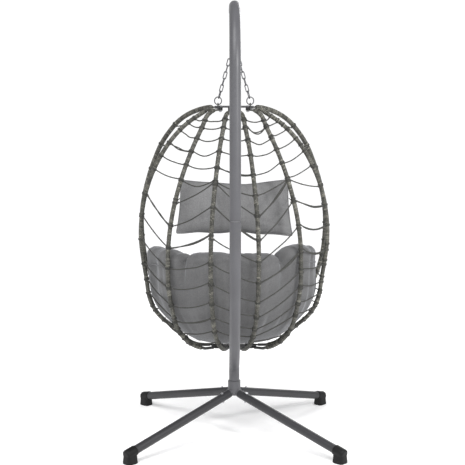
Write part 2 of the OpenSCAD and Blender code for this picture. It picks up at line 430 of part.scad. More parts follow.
function cushion_row(i, a) = let (t = top_at(a), th = thick_at(a), zb = 424, zo = t - 34)
  i < n_out ? let (z = zb + (zo - zb) * pow(i / (n_out - 1), 1.2)) [plan_r(a, z) * (i == 0 ? 0.86 : 1), z] :
  i == n_out ? [plan_r(a, t) - th * 0.28, t - 6] : i == n_out + 1 ? [plan_r(a, t) - th * 0.62, t - 2] :
  let (k = (i - n_out - 2) / (n_in - 1), z = (t - 30) + (seat_z + 14 - (t - 30)) * k)
  [(plan_r(a, max(z, 560)) - th) * (1 - 0.22 * k * k), max(z, seat_z + 10)];
n_row = n_out + 2 + n_in;
function cushion_pts() = concat([for (i = [0 : n_row - 1], j = [0 : n_az - 1]) let (a = j * 360 / n_az - 180, p = cushion_row(i, a))
  settle([-p[0] * sin(a), -p[0] * cos(a), p[1]])], [settle([0, 0, 420]), settle([0, 0, seat_z])]);
module seat_cushion() color([0.52, 0.52, 0.54]) leaned() polyhedron(cushion_pts(), concat(
  [for (i = [0 : n_row - 2], j = [0 : n_az - 1]) let (k = (j + 1) % n_az) each [
    [i * n_az + j, i * n_az + k, (i + 1) * n_az + k], [i * n_az + j, (i + 1) * n_az + k, (i + 1) * n_az + j]]],
  [for (j = [0 : n_az - 1]) [n_row * n_az, (j + 1) % n_az, j]],
  [for (j = [0 : n_az - 1]) [n_row * n_az + 1, (n_row - 1) * n_az + j, (n_row - 1) * n_az + (j + 1) % n_az]]));

// ---- head pillow: a flat pad leaning with the back
pil_c = settle([0, -116, 1034]);
pil_t = 84;
pil_lean = 12;
module in_pillow() { leaned() translate(pil_c) rotate([-pil_lean, 0, 0]) children(); }
module head_pillow() color([0.50, 0.50, 0.52]) in_pillow() hull()
  for (x = [-1, 1], z = [-1, 1], y = [-1, 1]) translate([x * (pillow_w / 2 - 26 - 10 - z * 10), y * (pil_t / 2 - 26), z * (pillow_h / 2 - 26)]) sphere(r = 26, $fn = 16);
module tie(a, b, d) { v = b - a; translate(a) rotate([0, acos(v[2] / norm(v)), atan2(v[1], v[0])]) cylinder(d = d, h = norm(v), $fn = 16); }
module pillow_ties() color([0.40, 0.40, 0.38]) leaned() for (s = [0, 1]) mirror([s, 0, 0]) {
  for (h = [40]) {
    b = on_rib(back_s, back_az, 1034 + h);
    a = [-pillow_w / 2 + 11, pil_c[1] - 20 + h * 0.21, pil_c[2] + h];
    tie(a, b - unit(b - a) * gap, 4.5);
  }
}

hub();
leg(0);  // leg_rear_left
leg(1);  // leg_rear_right
leg(2);  // leg_front_left
leg(3);  // leg_front_right
foot(0);  // foot_rear_left
foot(1);  // foot_rear_right
foot(2);  // foot_front_left
foot(3);  // foot_front_right
leg_bolts();
leg_nuts();
collar_bolt();
pole_lower();
pole_upper();
pole_spigot();
spigot_screws();
arm_cap();
arm_eye();
hook();
swivel_eye();
top_ring();
chain_left();
chain_right();
ring_left();
ring_right();
frame_eye_left();
frame_eye_right();
top_plate();
bottom_plate();
rib_rear_left();
rib_rear_right();
rib_back_left();
rib_back_right();
rib_side_left();
rib_side_right();
rim_left();
rim_right();
wrap_rear_left();
wrap_rear_right();
wrap_back_left();
wrap_back_right();
wrap_side_left();
wrap_side_right();
wrap_rim_left();
wrap_rim_right();
top_bolts();
top_nuts();
bottom_bolts();
bottom_nuts();
net_rear();
net_back_left();
net_back_right();
net_side_left();
net_side_right();
net_rim_left();
net_rim_right();
seat_cushion();
head_pillow();
pillow_ties();
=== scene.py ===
"""Looks of the hanging egg chair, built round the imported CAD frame."""
import json
import math

import bpy
import numpy as np
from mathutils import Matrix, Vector, noise

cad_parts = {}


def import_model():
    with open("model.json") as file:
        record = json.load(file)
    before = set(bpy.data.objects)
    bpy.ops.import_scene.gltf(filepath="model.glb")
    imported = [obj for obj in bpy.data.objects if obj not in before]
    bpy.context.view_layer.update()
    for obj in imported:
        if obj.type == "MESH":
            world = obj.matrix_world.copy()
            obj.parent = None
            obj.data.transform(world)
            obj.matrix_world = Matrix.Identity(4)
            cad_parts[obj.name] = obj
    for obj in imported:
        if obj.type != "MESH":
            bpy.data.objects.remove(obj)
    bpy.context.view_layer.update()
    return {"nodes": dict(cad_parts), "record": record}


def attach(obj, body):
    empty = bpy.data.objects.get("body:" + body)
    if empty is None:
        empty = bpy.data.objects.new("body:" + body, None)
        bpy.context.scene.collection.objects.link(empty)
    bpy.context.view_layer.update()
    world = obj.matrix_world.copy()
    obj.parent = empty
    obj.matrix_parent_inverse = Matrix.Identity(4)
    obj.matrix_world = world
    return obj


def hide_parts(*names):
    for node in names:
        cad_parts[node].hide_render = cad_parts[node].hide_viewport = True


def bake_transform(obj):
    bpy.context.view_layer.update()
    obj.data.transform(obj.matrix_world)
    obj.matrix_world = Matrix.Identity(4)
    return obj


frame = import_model()
nodes = frame["nodes"]
scene = bpy.context.scene
RNG = np.random.default_rng(11)

# ------------------------------------------------------------------ camera
AZ = math.radians(0.6)
DIST, CAM_Z, TILT = 4.589, 1.45, math.radians(6.4)
cam_data = bpy.data.cameras.new("camera")
cam = bpy.data.objects.new("camera", cam_data)
scene.collection.objects.link(cam)
cam_data.sensor_width = 36.0
cam_data.lens = 1008 / 465 * 36.0
cam_data.shift_x = -1.7 / 465
cam_data.clip_start, cam_data.clip_end = 0.05, 60.0
cam.location = (-DIST * math.sin(AZ), -DIST * math.cos(AZ), CAM_Z)
cam.rotation_euler = (math.pi / 2 - TILT, 0.0, -AZ)
scene.camera = cam

# ------------------------------------------------------------------ materials


class Graph:
    """Small helper round one node tree."""

    def __init__(self, name):
        self.mat = bpy.data.materials.new(name)
        self.mat.use_nodes = True
        self.t = self.mat.node_tree
        self.bsdf = self.t.nodes["Principled BSDF"]
        self.co = self.t.nodes.new("ShaderNodeTexCoord").outputs["Object"]

    def link(self, a, b):
        self.t.links.new(a, b)

    def noise(self, scale, detail=2.0, rough=0.5, stretch=None, distort=0.0):
        n = self.t.nodes.new("ShaderNodeTexNoise")
        n.inputs["Scale"].default_value = scale
        n.inputs["Detail"].default_value = detail
        n.inputs["Roughness"].default_value = rough
        n.inputs["Distortion"].default_value = distort
        if stretch:
            m = self.t.nodes.new("ShaderNodeMapping")
            m.inputs["Scale"].default_value = stretch
            self.link(self.co, m.inputs["Vector"])
            self.link(m.outputs["Vector"], n.inputs["Vector"])
        else:
            self.link(self.co, n.inputs["Vector"])
        return n.outputs["Fac"]

    def voronoi(self, scale):
        n = self.t.nodes.new("ShaderNodeTexVoronoi")
        n.inputs["Scale"].default_value = scale
        self.link(self.co, n.inputs["Vector"])
        return n.outputs["Distance"]

    def ramp(self, fac, stops):
        n = self.t.nodes.new("ShaderNodeValToRGB")
        e = n.color_ramp.elements
        while len(e) < len(stops):
            e.new(0.5)
        for k, (p, c) in enumerate(stops):
            e[k].position = p
            e[k].color = (*c, 1.0) if len(c) == 3 else c
        self.link(fac, n.inputs["Fac"])
        return n.outputs["Color"]

    def math(self, op, a, b=None, c=None):
        n = self.t.nodes.new("ShaderNodeMath")
        n.operation = op
        for k, x in enumerate((a, b, c)):
            if x is None:
                continue
            if isinstance(x, (int, float)):
                n.inputs[k].default_value = x
            else:
                self.link(x, n.inputs[k])
        return n.outputs[0]

    def span(self, fac, lo, hi):
        n = self.t.nodes.new("ShaderNodeMapRange")
        n.inputs["To Min"].default_value = lo
        n.inputs["To Max"].default_value = hi
        self.link(fac, n.inputs["Value"])
        return n.outputs["Result"]

    def mix(self, fac, a, b, blend="MIX"):
        n = self.t.nodes.new("ShaderNodeMix")
        n.data_type = "RGBA"
        n.blend_type = blend
        for k, x in (("Factor", fac), ("A", a), ("B", b)):
            s = [i for i in n.inputs if i.name == k and i.type == ("VALUE" if k == "Factor" else "RGBA")][0]
            if isinstance(x, (int, float)):
                s.default_value = x
            elif isinstance(x, tuple):
                s.default_value = (*x, 1.0)
            else:
                self.link(x, s)
        return [o for o in n.outputs if o.type == "RGBA"][0]

    def attribute(self, name):
        n = self.t.nodes.new("ShaderNodeAttribute")
        n.attribute_name = name
        return n.outputs["Fac"]

    def color(self, out):
        self.link(out, self.bsdf.inputs["Base Color"])

    def rough(self, out):
        self.link(out, self.bsdf.inputs["Roughness"])

    def bump(self, *layers):
        last = None
        for height, strength, dist in layers:
            n = self.t.nodes.new("ShaderNodeBump")
            n.inputs["Strength"].default_value = strength
            n.inputs["Distance"].default_value = dist
            self.link(height, n.inputs["Height"])
            if last is not None:
                self.link(last, n.inputs["Normal"])
            last = n.outputs["Normal"]
        self.link(last, self.bsdf.inputs["Normal"])

    def const(self, **kw):
        for k, v in kw.items():
            self.bsdf.inputs[k.replace("_", " ")].default_value = v


def powder(name, base, rough=0.42, spread=0.10):
    """Powder coat: fine orange-peel texture and a slow drift of tone."""
    g = Graph(name)
    lo = tuple(c * (1 - spread) for c in base)
    hi = tuple(c * (1 + spread) for c in base)
    slow = g.noise(5.0, 3.0)
    fine = g.noise(620.0, 2.0)
    c = g.ramp(slow, [(0.3, lo), (0.7, hi)])
    speck = g.ramp(fine, [(0.35, (0.90, 0.90, 0.90)), (0.65, (1.08, 1.08, 1.08))])
    g.color(g.mix(1.0, c, speck, "MULTIPLY"))
    g.rough(g.span(g.noise(40.0, 3.0), rough - 0.07, rough + 0.07))
    g.bump((g.noise(900.0, 1.0), 0.16, 0.0006))
    g.const(IOR=1.5)
    return g.mat


def steel(name, base, rough=0.3, metallic=0.9):
    """Plated steel: dull patches, fine scratches along the part."""
    g = Graph(name)
    patch = g.noise(120.0, 4.0)
    g.color(g.ramp(patch, [(0.3, tuple(c * 0.72 for c in base)), (0.7, base)]))
    g.rough(g.span(g.noise(260.0, 3.0, stretch=(1, 1, 0.15)), rough - 0.08, rough + 0.16))
    g.bump((g.noise(700.0, 2.0), 0.10, 0.0004))
    g.const(Metallic=metallic)
    return g.mat


def wicker():
    """Wound polyethylene strip, olive grey with lighter flecks; each turn has its own tone and is painted darker
    towards its edges, as shade in the grooves between turns.
    """
    g = Graph("wicker_strip")
    turn = g.attribute("turn")
    fleck = g.noise(330.0, 3.0, 0.6)
    streak = g.noise(60.0, 3.0, 0.6)
    # colour from the per-vertex value: random tone per turn times painted shade in the grooves between turns
    base = g.ramp(turn, [(0.0, (0.036, 0.036, 0.031)), (0.45, (0.066, 0.065, 0.056)), (0.8, (0.105, 0.103, 0.090)), (1.0, (0.185, 0.182, 0.160))])
    spots = g.ramp(fleck, [(0.32, (0.42, 0.42, 0.41)), (0.52, (1.0, 1.0, 1.0)), (0.64, (2.7, 2.66, 2.5))])
    c = g.mix(1.0, base, spots, "MULTIPLY")
    g.color(g.mix(1.0, c, g.ramp(streak, [(0.3, (0.82, 0.82, 0.82)), (0.7, (1.12, 1.12, 1.12))]), "MULTIPLY"))
    g.rough(g.span(streak, 0.42, 0.62))
    g.bump((g.noise(1200.0, 2.0), 0.25, 0.0005), (fleck, 0.3, 0.0006))
    g.const(IOR=1.46)
    return g.mat


def rope():
    """Round woven cord of the net: fine plait relief and mottled olive grey, with painted shade that follows the
    plait relief.
    """
    g = Graph("net_rope")
    twist = g.attribute("turn")
    fleck = g.noise(420.0, 3.0, 0.6)
    c = g.ramp(fleck, [(0.28, (0.026, 0.026, 0.024)), (0.52, (0.052, 0.052, 0.047)), (0.74, (0.115, 0.113, 0.100))])
    # painted shade that follows the plait relief: 30 % darker in the grooves and on the crests
    shade = g.ramp(twist, [(0.0, (0.70, 0.70, 0.70)), (0.5, (1.1, 1.1, 1.1)), (1.0, (0.70, 0.70, 0.70))])
    g.color(g.mix(1.0, c, shade, "MULTIPLY"))
    g.rough(g.span(fleck, 0.62, 0.85))
    g.bump((twist, 0.5, 0.0008), (g.noise(1500.0, 2.0), 0.3, 0.0004))
    return g.mat


def fabric(name="cushion_weave", painted_light_scale=1.0):
    """Grey polyester: plain weave at 1.3 mm, melange tone, soft sheen."""
    g = Graph(name)
    uv = g.t.nodes.new("ShaderNodeUVMap").outputs["UV"]
    sep = g.t.nodes.new("ShaderNodeSeparateXYZ")
    g.link(uv, sep.inputs["Vector"])
    k = 2 * math.pi / 0.0026
    wu = g.math("SINE", g.math("MULTIPLY", sep.outputs["X"], k))
    wv = g.math("SINE", g.math("MULTIPLY", sep.outputs["Y"], k))
    weave = g.math("MULTIPLY_ADD", g.math("MULTIPLY", wu, wv), 0.5, 0.5)
    mel = g.noise(240.0, 4.0, 0.65)
    slow = g.noise(7.0, 3.0, 0.5)
    # the whole tone scaled per copy: painted light above 1, painted shade below 1
    tone = g.ramp(mel, [(at, tuple(v * painted_light_scale for v in c)) for at, c in ((0.25, (0.130, 0.130, 0.133)), (0.5, (0.178, 0.178, 0.180)), (0.78, (0.235, 0.235, 0.236)))])
    c = g.mix(1.0, tone, g.ramp(slow, [(0.25, (0.90, 0.90, 0.90)), (0.75, (1.08, 1.08, 1.08))]), "MULTIPLY")
    c = g.mix(1.0, c, g.ramp(weave, [(0.0, (0.84, 0.84, 0.84)), (1.0, (1.10, 1.10, 1.10))]), "MULTIPLY")
    g.color(c)
    g.rough(g.span(mel, 0.72, 0.90))
    g.bump((slow, 0.25, 0.010), (g.noise(28.0, 4.0, 0.55), 0.35, 0.006), (weave, 0.35, 0.0005))
    g.const(Sheen_Weight=0.35, Sheen_Roughness=0.45, Sheen_Tint=(0.85, 0.87, 0.92, 1.0))
    return g.mat


def plastic(name, base, rough=0.5):
    """Moulded plastic: fine spark-eroded grain, small scuffs."""
    g = Graph(name)
    grain = g.noise(800.0, 2.0)
    scuff = g.noise(35.0, 5.0, 0.7)
    g.color(g.ramp(scuff, [(0.35, base), (0.8, tuple(c * 1.7 + 0.004 for c in base))]))
    g.rough(g.span(scuff, rough - 0.06, rough + 0.14))
    g.bump((grain, 0.25, 0.0005))
    g.const(Specular_IOR_Level=0.28)
    return g.mat


M_COAT = powder("stand_coat", (0.098, 0.098, 0.106), 0.42)
# the legs' copy of the stand coat, painted about 70 % darker as shade
M_LEG_PAINTED_SHADE = powder("leg_coat_painted_shade", (0.029, 0.029, 0.032), 0.45)
M_DARK = powder("rib_coat", (0.060, 0.060, 0.058), 0.45)
M_ZINC = steel("zinc_plate", (0.62, 0.62, 0.64), 0.30)
M_CHAIN = steel("dark_chain", (0.16, 0.16, 0.17), 0.38)
M_PLAST = plastic("black_plastic", (0.003, 0.003, 0.0032))
M_WICK = wicker()
M_ROPE = rope()
# one fabric in two copies: the pillow's painted 8 % lighter, the seat pad's painted 28 % darker as shade
M_FAB = fabric("pillow_weave", 1.08)
M_SEAT_PAINTED_SHADE = fabric("cushion_weave", 0.72)

FINISH = {
    "stand_paint": M_COAT, "foot_plastic": M_PLAST, "zinc": M_ZINC, "chain_steel": M_CHAIN,
    "rib_paint": M_DARK, "wicker": M_WICK, "rope": M_ROPE, "cushion_fabric": M_FAB,
}
SLOT = {s["node"]: s["material_slot"] for s in frame["record"]["subparts"]}
for n, ob in nodes.items():
    m = FINISH[SLOT[n]]
    # legs take the darker copy of the stand coat, painted shade
    if n.startswith("leg_") and n not in ("leg_bolts", "leg_nuts"):
        m = M_LEG_PAINTED_SHADE
    # the basket's top and bottom plates take the same darker coat
    if n in ("top_plate", "bottom_plate"):
        m = M_LEG_PAINTED_SHADE
    ob.data.materials.clear()
    ob.data.materials.append(m)

# ------------------------------------------------------------------ mesh helpers


def make(name, verts, faces, mat, uvs=None, turn=None, smooth=True):
    """One object from arrays; faces may be quads or triangles, uvs one per vertex."""
    me = bpy.data.meshes.new(name)
    me.from_pydata([tuple(v) for v in np.asarray(verts, float)], [], [tuple(int(i) for i in f) for f in faces])
    me.materials.append(mat)
    if smooth:
        me.polygons.foreach_set("use_smooth", [True] * len(me.polygons))
    if uvs is not None:
        lay = me.uv_layers.new(name="UVMap")
        idx = np.zeros(len(me.loops), int)
        me.loops.foreach_get("vertex_index", idx)
        lay.data.foreach_set("uv", np.asarray(uvs, float)[idx].astype(np.float32).ravel())
    # the per-vertex value holds tone and painted groove shade for the wicker and cord colours
    if turn is not None:
        at = me.attributes.new("turn", "FLOAT", "POINT")
        at.data.foreach_set("value", np.asarray(turn, np.float32))
    me.update()
    ob = bpy.data.objects.new(name, me)
    scene.collection.objects.link(ob)
    return ob


def unit(v):
    v = np.asarray(v, float)
    return v / np.maximum(np.linalg.norm(v, axis=-1, keepdims=True), 1e-12)


def frames(P, closed=False):
    """Tangents and a pair of normals that don't twist."""
    P = np.asarray(P, float)
    if closed:
        T = unit(np.roll(P, -1, 0) - np.roll(P, 1, 0))
    else:
        T = unit(np.gradient(P, axis=0))
    a = np.array([0, 0, 1.0]) if abs(T[0][2]) < 0.9 else np.array([1.0, 0, 0])
    N = np.zeros_like(P)
    N[0] = unit(a - T[0] * (a @ T[0]))
    for i in range(1, len(P)):
        n = N[i - 1] - T[i] * (N[i - 1] @ T[i])
        N[i] = unit(n)
    return T, N, np.cross(T, N)


def tube_arrays(P, radius, m=10, N=None, B=None, caps=True, round_caps=False):
    """Tube through P. radius is a number, one per ring, or rings x m."""
    P = np.asarray(P, float)
    if N is None:
        _, N, B = frames(P)
    R = np.asarray(radius, float)
    if R.ndim == 0:
        R = np.full((len(P), m), float(R))
    elif R.ndim == 1:
        R = np.repeat(R[:, None], m, 1)
    a = np.arange(m) * 2 * np.pi / m
    V = P[:, None] + R[..., None] * (np.cos(a)[None, :, None] * N[:, None] + np.sin(a)[None, :, None] * B[:, None])
    V = V.reshape(-1, 3)
    i = np.arange(len(P) - 1)[:, None] * m
    j = np.arange(m)[None]
    k = (j + 1) % m
    F = np.stack([i + j, i + k, i + m + k, i + m + j], -1).reshape(-1, 4)
    F = [list(f) for f in F]
    if caps:
        n = len(V)
        V = np.vstack([V, P[0], P[-1]])
        last = (len(P) - 1) * m
        F += [[n, (q + 1) % m, q] for q in range(m)]
        F += [[n + 1, last + q, last + (q + 1) % m] for q in range(m)]
    return V, F


def join_arrays(parts):
    V, F, T, n = [], [], [], 0
    for p in parts:
        v, f = p[0], p[1]
        V.append(v)
        F += [[x + n for x in q] for q in f]
        T.append(p[2] if len(p) > 2 and p[2] is not None else np.full(len(v), 0.5))
        n += len(v)
    return np.vstack(V), F, np.concatenate(T)


def lathe(profile, centre, axis, m=40):
    """Closed solid of revolution from (radius, along) pairs, round axis."""
    t = unit(axis)
    a = np.array([0, 0, 1.0]) if abs(t[2]) < 0.9 else np.array([1.0, 0, 0])
    n = unit(a - t * (a @ t))
    b = np.cross(t, n)
    P = np.array([np.asarray(centre, float) + t * h for _, h in profile])
    R = np.array([r for r, _ in profile])
    return tube_arrays(P, R, m, np.repeat(n[None], len(P), 0), np.repeat(b[None], len(P), 0))


# ------------------------------------------------------------------ the CAD's own curves, in metres
HANG_Y, EYE, LOW_Z, LEAN = 20.0, 1490.7, 1534.0, math.radians(6.95)
PIVOT_X, REAR_X, BOTTOM_DROP = 62.0, 21.0, 48.0
CL, SL = math.cos(LEAN), math.sin(LEAN)


def down(z):
    return (1490 - z) / 1100


def lower(z):
    return z + 2 + 27 * down(z) - 69 * down(z) ** 2


def grow(z):
    return 0.987 + 0.0605 * down(z)


def level(z, y):
    return EYE + (lower(z) - EYE - y * SL) / CL


def world(p):
    """Basket millimetres to row metres."""
    p = np.asarray(p, float)
    y, z = p[..., 1], p[..., 2] - EYE
    return np.stack([p[..., 0], y * CL - z * SL + HANG_Y, y * SL + z * CL + LOW_Z - 20.3], -1) / 1000


def settle(p):
    p = np.asarray(p, float)
    g = grow(p[..., 2])
    y = p[..., 1] * g
    return np.stack([p[..., 0] * g, y, EYE + (lower(p[..., 2]) - EYE - y * SL) / CL], -1)


def arcs(pts, t0, t1):
    pts = [np.array(p, float) for p in pts]

    def mid_t(a, b, c):
        return unit(unit(b - a) * np.linalg.norm(c - b) + unit(c - b) * np.linalg.norm(b - a))

    def t_next(p, q, t):
        d = unit(q - p)
        return 2 * (t @ d) * d - t

    n = len(pts)
    ts = [unit(t0) if i == 0 else unit(t1) if i == n - 1 else mid_t(pts[i - 1], pts[i], pts[i + 1]) for i in range(n)]
    out = []
    for i in range(n - 1):
        p, q, a, b = pts[i], pts[i + 1], ts[i], ts[i + 1]
        v, t, k = q - p, a + b, 2 * (1 - a @ b)
        dd = v @ v / (4 * (v @ b)) if k < 1e-6 else (-(v @ t) + math.sqrt((v @ t) ** 2 + k * (v @ v))) / k
        m = (p + q + dd * (a - b)) / 2
        out += [(p, m, a), (m, q, t_next(p, m, a))]
    return out


def chain_arcs(pts, t):
    out, t = [], unit(t)
    for p, q in zip(pts[:-1], pts[1:]):
        p, q = np.array(p, float), np.array(q, float)
        out.append((p, q, t))
        d = unit(q - p)
        t = 2 * (t @ d) * d - t
    return out


def sample(segs, step=4.0):
    """Points and tangents along arcs in their plane."""
    P, T = [segs[0][0]], [segs[0][2]]
    for p, q, t in segs:
        h = 2 * ((math.atan2(*(q - p)[::-1]) - math.atan2(*t[::-1]) + math.pi) % (2 * math.pi) - math.pi)
        L = np.linalg.norm(q - p)
        n = max(1, int(math.ceil(L / step)))
        for k in range(1, n + 1):
            if abs(h) < math.radians(0.2):
                P.append(p + (q - p) * k / n)
                T.append(t)
            else:
                r = L / (2 * math.sin(abs(h) / 2))
                c = p + r * np.sign(h) * np.array([-t[1], t[0]])
                a = h * k / n
                R = np.array([[math.cos(a), -math.sin(a)], [math.sin(a), math.cos(a)]])
                P.append(c + R @ (p - c))
                T.append(R @ t)
    return np.array(P), np.array(T)


BACK = [[54, 1468], [78, 1448], [122, 1384], [184, 1287], [251, 1155], [314, 961], [330, 820], [312, 618], [262, 492], [150, 408], [54, 391.5]]
SIDE = [[54, 1474.5], [83, 1454.6], [170, 1393.9], [211, 1352], [316, 1180], [368, 930], [350, 750], [304, 566], [201, 468], [122, 405], [54, 396.5]]
RIM = [[54, 1479.5], [92, 1475], [208, 1430], [292, 1352], [386, 1180], [438, 930], [392, 700], [330, 600], [232, 490], [132, 414], [54, 401.5]]
REAR = [[36, 1461], [62, 1445], [122, 1380], [193, 1287], [263, 1155], [329, 961], [345, 820], [321, 618], [262, 492], [138, 408], [36, 391.5]]


class Rib:
    def __init__(self, pts, az, x0, y0, t0):
        self.az, self.x0, self.y0 = math.radians(az), x0, y0
        lie = []
        for i, (r, z) in enumerate(pts):
            g = r * grow(z)
            lie.append([r, z] if i == 0 else [r, z - BOTTOM_DROP] if i == len(pts) - 1 else [g, level(z, y0 - g * math.cos(self.az))])
        self.segs = arcs(lie, t0, [-1, 0])
        self.P, self.T = sample(self.segs, 1.0)
        self.S = np.concatenate([[0], np.cumsum(np.linalg.norm(np.diff(self.P, axis=0), axis=1))])
        d = np.linalg.norm(self.P[None] - np.array([lie[1], lie[-2]])[:, None], axis=2)
        self.wrap = self.S[d[0].argmin()], self.S[d[1].argmin()]

    def place(self, rz, side):
        """Side plane [rho, z] to basket mm, side -1 left, +1 right."""
        rz = np.asarray(rz, float)
        x = (-self.x0 - rz[..., 0] * math.sin(self.az)) * -side
        return np.stack([x, self.y0 - rz[..., 0] * math.cos(self.az), rz[..., 1]], -1)

    def at_s(self, s):
        return np.stack([np.interp(s, self.S, self.P[:, 0]), np.interp(s, self.S, self.P[:, 1])], -1)

    def tan_s(self, s):
        return unit(np.stack([np.interp(s, self.S, self.T[:, 0]), np.interp(s, self.S, self.T[:, 1])], -1))

    def s_at(self, z):
        """Arc length where the rib hangs at height z of the level basket."""
        b = self.place(self.P, -1)
        w = b[:, 1] * SL + (b[:, 2] - EYE) * CL + EYE
        k = int(np.argmax(w <= lower(z)))
        f = (w[k - 1] - lower(z)) / max(w[k - 1] - w[k], 1e-9)
        return float(self.S[k - 1] + f * (self.S[k] - self.S[k - 1]))

    def line(self, s, side):
        """World points, in-plane outward normals and plane normals."""
        s = np.asarray(s, float)
        p = world(self.place(self.at_s(s), side))
        t = self.tan_s(s)
        q = world(self.place(self.at_s(s) + t, side))
        T = unit(q - p)
        n2 = np.stack([-t[..., 1], t[..., 0]], -1)
        N = unit(world(self.place(self.at_s(s) + n2, side)) - p)
        return p, N, np.cross(T, N)


RIBS = {
    "rear": Rib(REAR, 13.7, REAR_X, -12.0, [1, -0.3]),
    "back": Rib(BACK, 44.0, PIVOT_X, 0.0, [1, -0.35]),
    "side": Rib(SIDE, 77.5, PIVOT_X, 0.0, [1, 0]),
    "rim": Rib(RIM, 120.0, PIVOT_X, 0.0, [1, -0.16]),
}


def body_of_rib(k, side):
    sd = "left" if side < 0 else "right"
    return "basket" if k == "rear" else "%s_%s" % (k, sd)


def node_of(k, side, wrap=True):
    sd = "left" if side < 0 else "right"
    if wrap:
        return "wrap_%s_%s" % (k, sd)
    return "rim_%s" % sd if k == "rim" else "rib_%s_%s" % (k, sd)


def smooth(x, a, b):
    t = np.clip((x - a) / (b - a), 0, 1)
    return t * t * (3 - 2 * t)


# ------------------------------------------------------------------ wicker-wound ribs
def wound_rib(k, side):
    rib = RIBS[k]
    s0, s1 = 3.0, rib.wrap[1] + 30
    pitch = 7.6
    n = int((s1 - s0) / 1.25)
    s = np.linspace(s0, s1, n)
    m = 16
    p, N, B = rib.line(s, side)
    a = np.arange(m) / m
    ph = s[:, None] / pitch + a[None] * (1 if side < 0 else -1)
    u = ph - np.floor(ph)
    idx = np.floor(ph).astype(int)
    rnd = RNG.random(idx.max() - idx.min() + 2)
    tone = rnd[idx - idx.min()]
    jit = (rnd[idx - idx.min()] - 0.5) * 0.5
    base = 9.6 if k != "rim" else 10.8
    R = base + 0.95 * (1 - np.abs(2 * u - 1) ** 3.5) - 0.45 + jit * 0.5
    ends = np.minimum((s - s0) / 8, (s1 - s) / 8).clip(0, 1)[:, None]
    R = 7.05 + (R - 7.05) * np.sqrt(ends)
    V, F = tube_arrays(p, R / 1000, m, N, B, caps=False)
    # random tone per turn, times painted shade: each turn darker towards its edges, where the grooves between turns
    # lie
    shade = tone * (0.55 + 0.45 * (1 - np.abs(2 * u - 1) ** 3))
    ob = make("wicker_" + node_of(k, side)[5:], V, F, M_WICK, turn=shade.ravel())
    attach(ob, body_of_rib(k, side))
    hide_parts(node_of(k, side))
    # smooth steel tube under it, with its pressed end tabs kept from the CAD node
    return ob


for k in RIBS:
    for side in (-1, 1):
        wound_rib(k, side)

# the strip runs on over each flat end tab, pressed thin there so that the stacked tabs still turn
TAB_Z = {"rear": 1461.0, "back": 1469.5, "side": 1474.5, "rim": 1479.5}


def tab_wrap(k, side):
    rib = RIBS[k]
    r1 = float(rib.P[0][0]) + 8
    r0 = 17.0 if k != "rear" else 10.0
    n, m = 72, 16
    r = np.linspace(r0, r1, n)
    e = smooth(r, r1 - 30, r1 - 10)
    w = int(rib.P[:, 0].argmax())
    top = np.interp(r, rib.P[:w, 0], rib.P[:w, 1])
    z = np.where(r < rib.P[0][0], TAB_Z[k] + (rib.P[0][1] - TAB_Z[k]) * smooth(r, r1 - 24, r1 - 8), top)
    c = world(rib.place(np.stack([r, z], -1), side)) * 1000
    up = unit(world(rib.place(np.stack([r, z + 10], -1), side)) * 1000 - c)
    T = unit(np.gradient(c, axis=0))
    hor = unit(np.cross(up, T))
    ends = np.sqrt(np.minimum((r - r0) / 3, 1.0).clip(0.15, 1))
    a = (8.4 + 1.1 * e) * ends
    b = (2.35 + 7.2 * e) * ends
    if k == "rim":
        a, b = a + 1.1 * e, b + 1.1 * e
    ang = np.arange(m) * 2 * np.pi / m
    ph = r[:, None] / 7.6 + np.arange(m)[None] / m
    u = ph - np.floor(ph)
    idx = np.floor(ph).astype(int)
    rnd = RNG.random(idx.max() - idx.min() + 2)
    tone = rnd[idx - idx.min()]
    g = (0.35 * (1 - np.abs(2 * u - 1) ** 3.5))[..., None]
    ca, sa = np.cos(ang)[None, :, None], np.sin(ang)[None, :, None]
    ringp = c[:, None] + (a[:, None, None] + g) * ca * hor[:, None] + (b[:, None, None] + 0.4 * g) * sa * up[:, None]
    V = np.vstack([ringp.reshape(-1, 3), c[:1], c[-1:]])
    F = [[i * m + j, i * m + (j + 1) % m, (i + 1) * m + (j + 1) % m, (i + 1) * m + j] for i in range(n - 1) for j in range(m)]
    F += [[n * m, (j + 1) % m, j] for j in range(m)] + [[n * m + 1, (n - 1) * m + j, (n - 1) * m + (j + 1) % m] for j in range(m)]
    # random tone per turn, times painted shade: each turn darker towards its edges, where the grooves between turns
    # lie
    shade = np.concatenate([(tone * (0.55 + 0.45 * (1 - np.abs(2 * u - 1) ** 3))).ravel(), [0.3, 0.3]])
    ob = make("wicker_tab_" + node_of(k, side)[5:], V / 1000, F, M_WICK, turn=shade)
    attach(ob, body_of_rib(k, side))
    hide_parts(node_of(k, side))


for k in RIBS:
    for side in (-1, 1):
        tab_wrap(k, side)

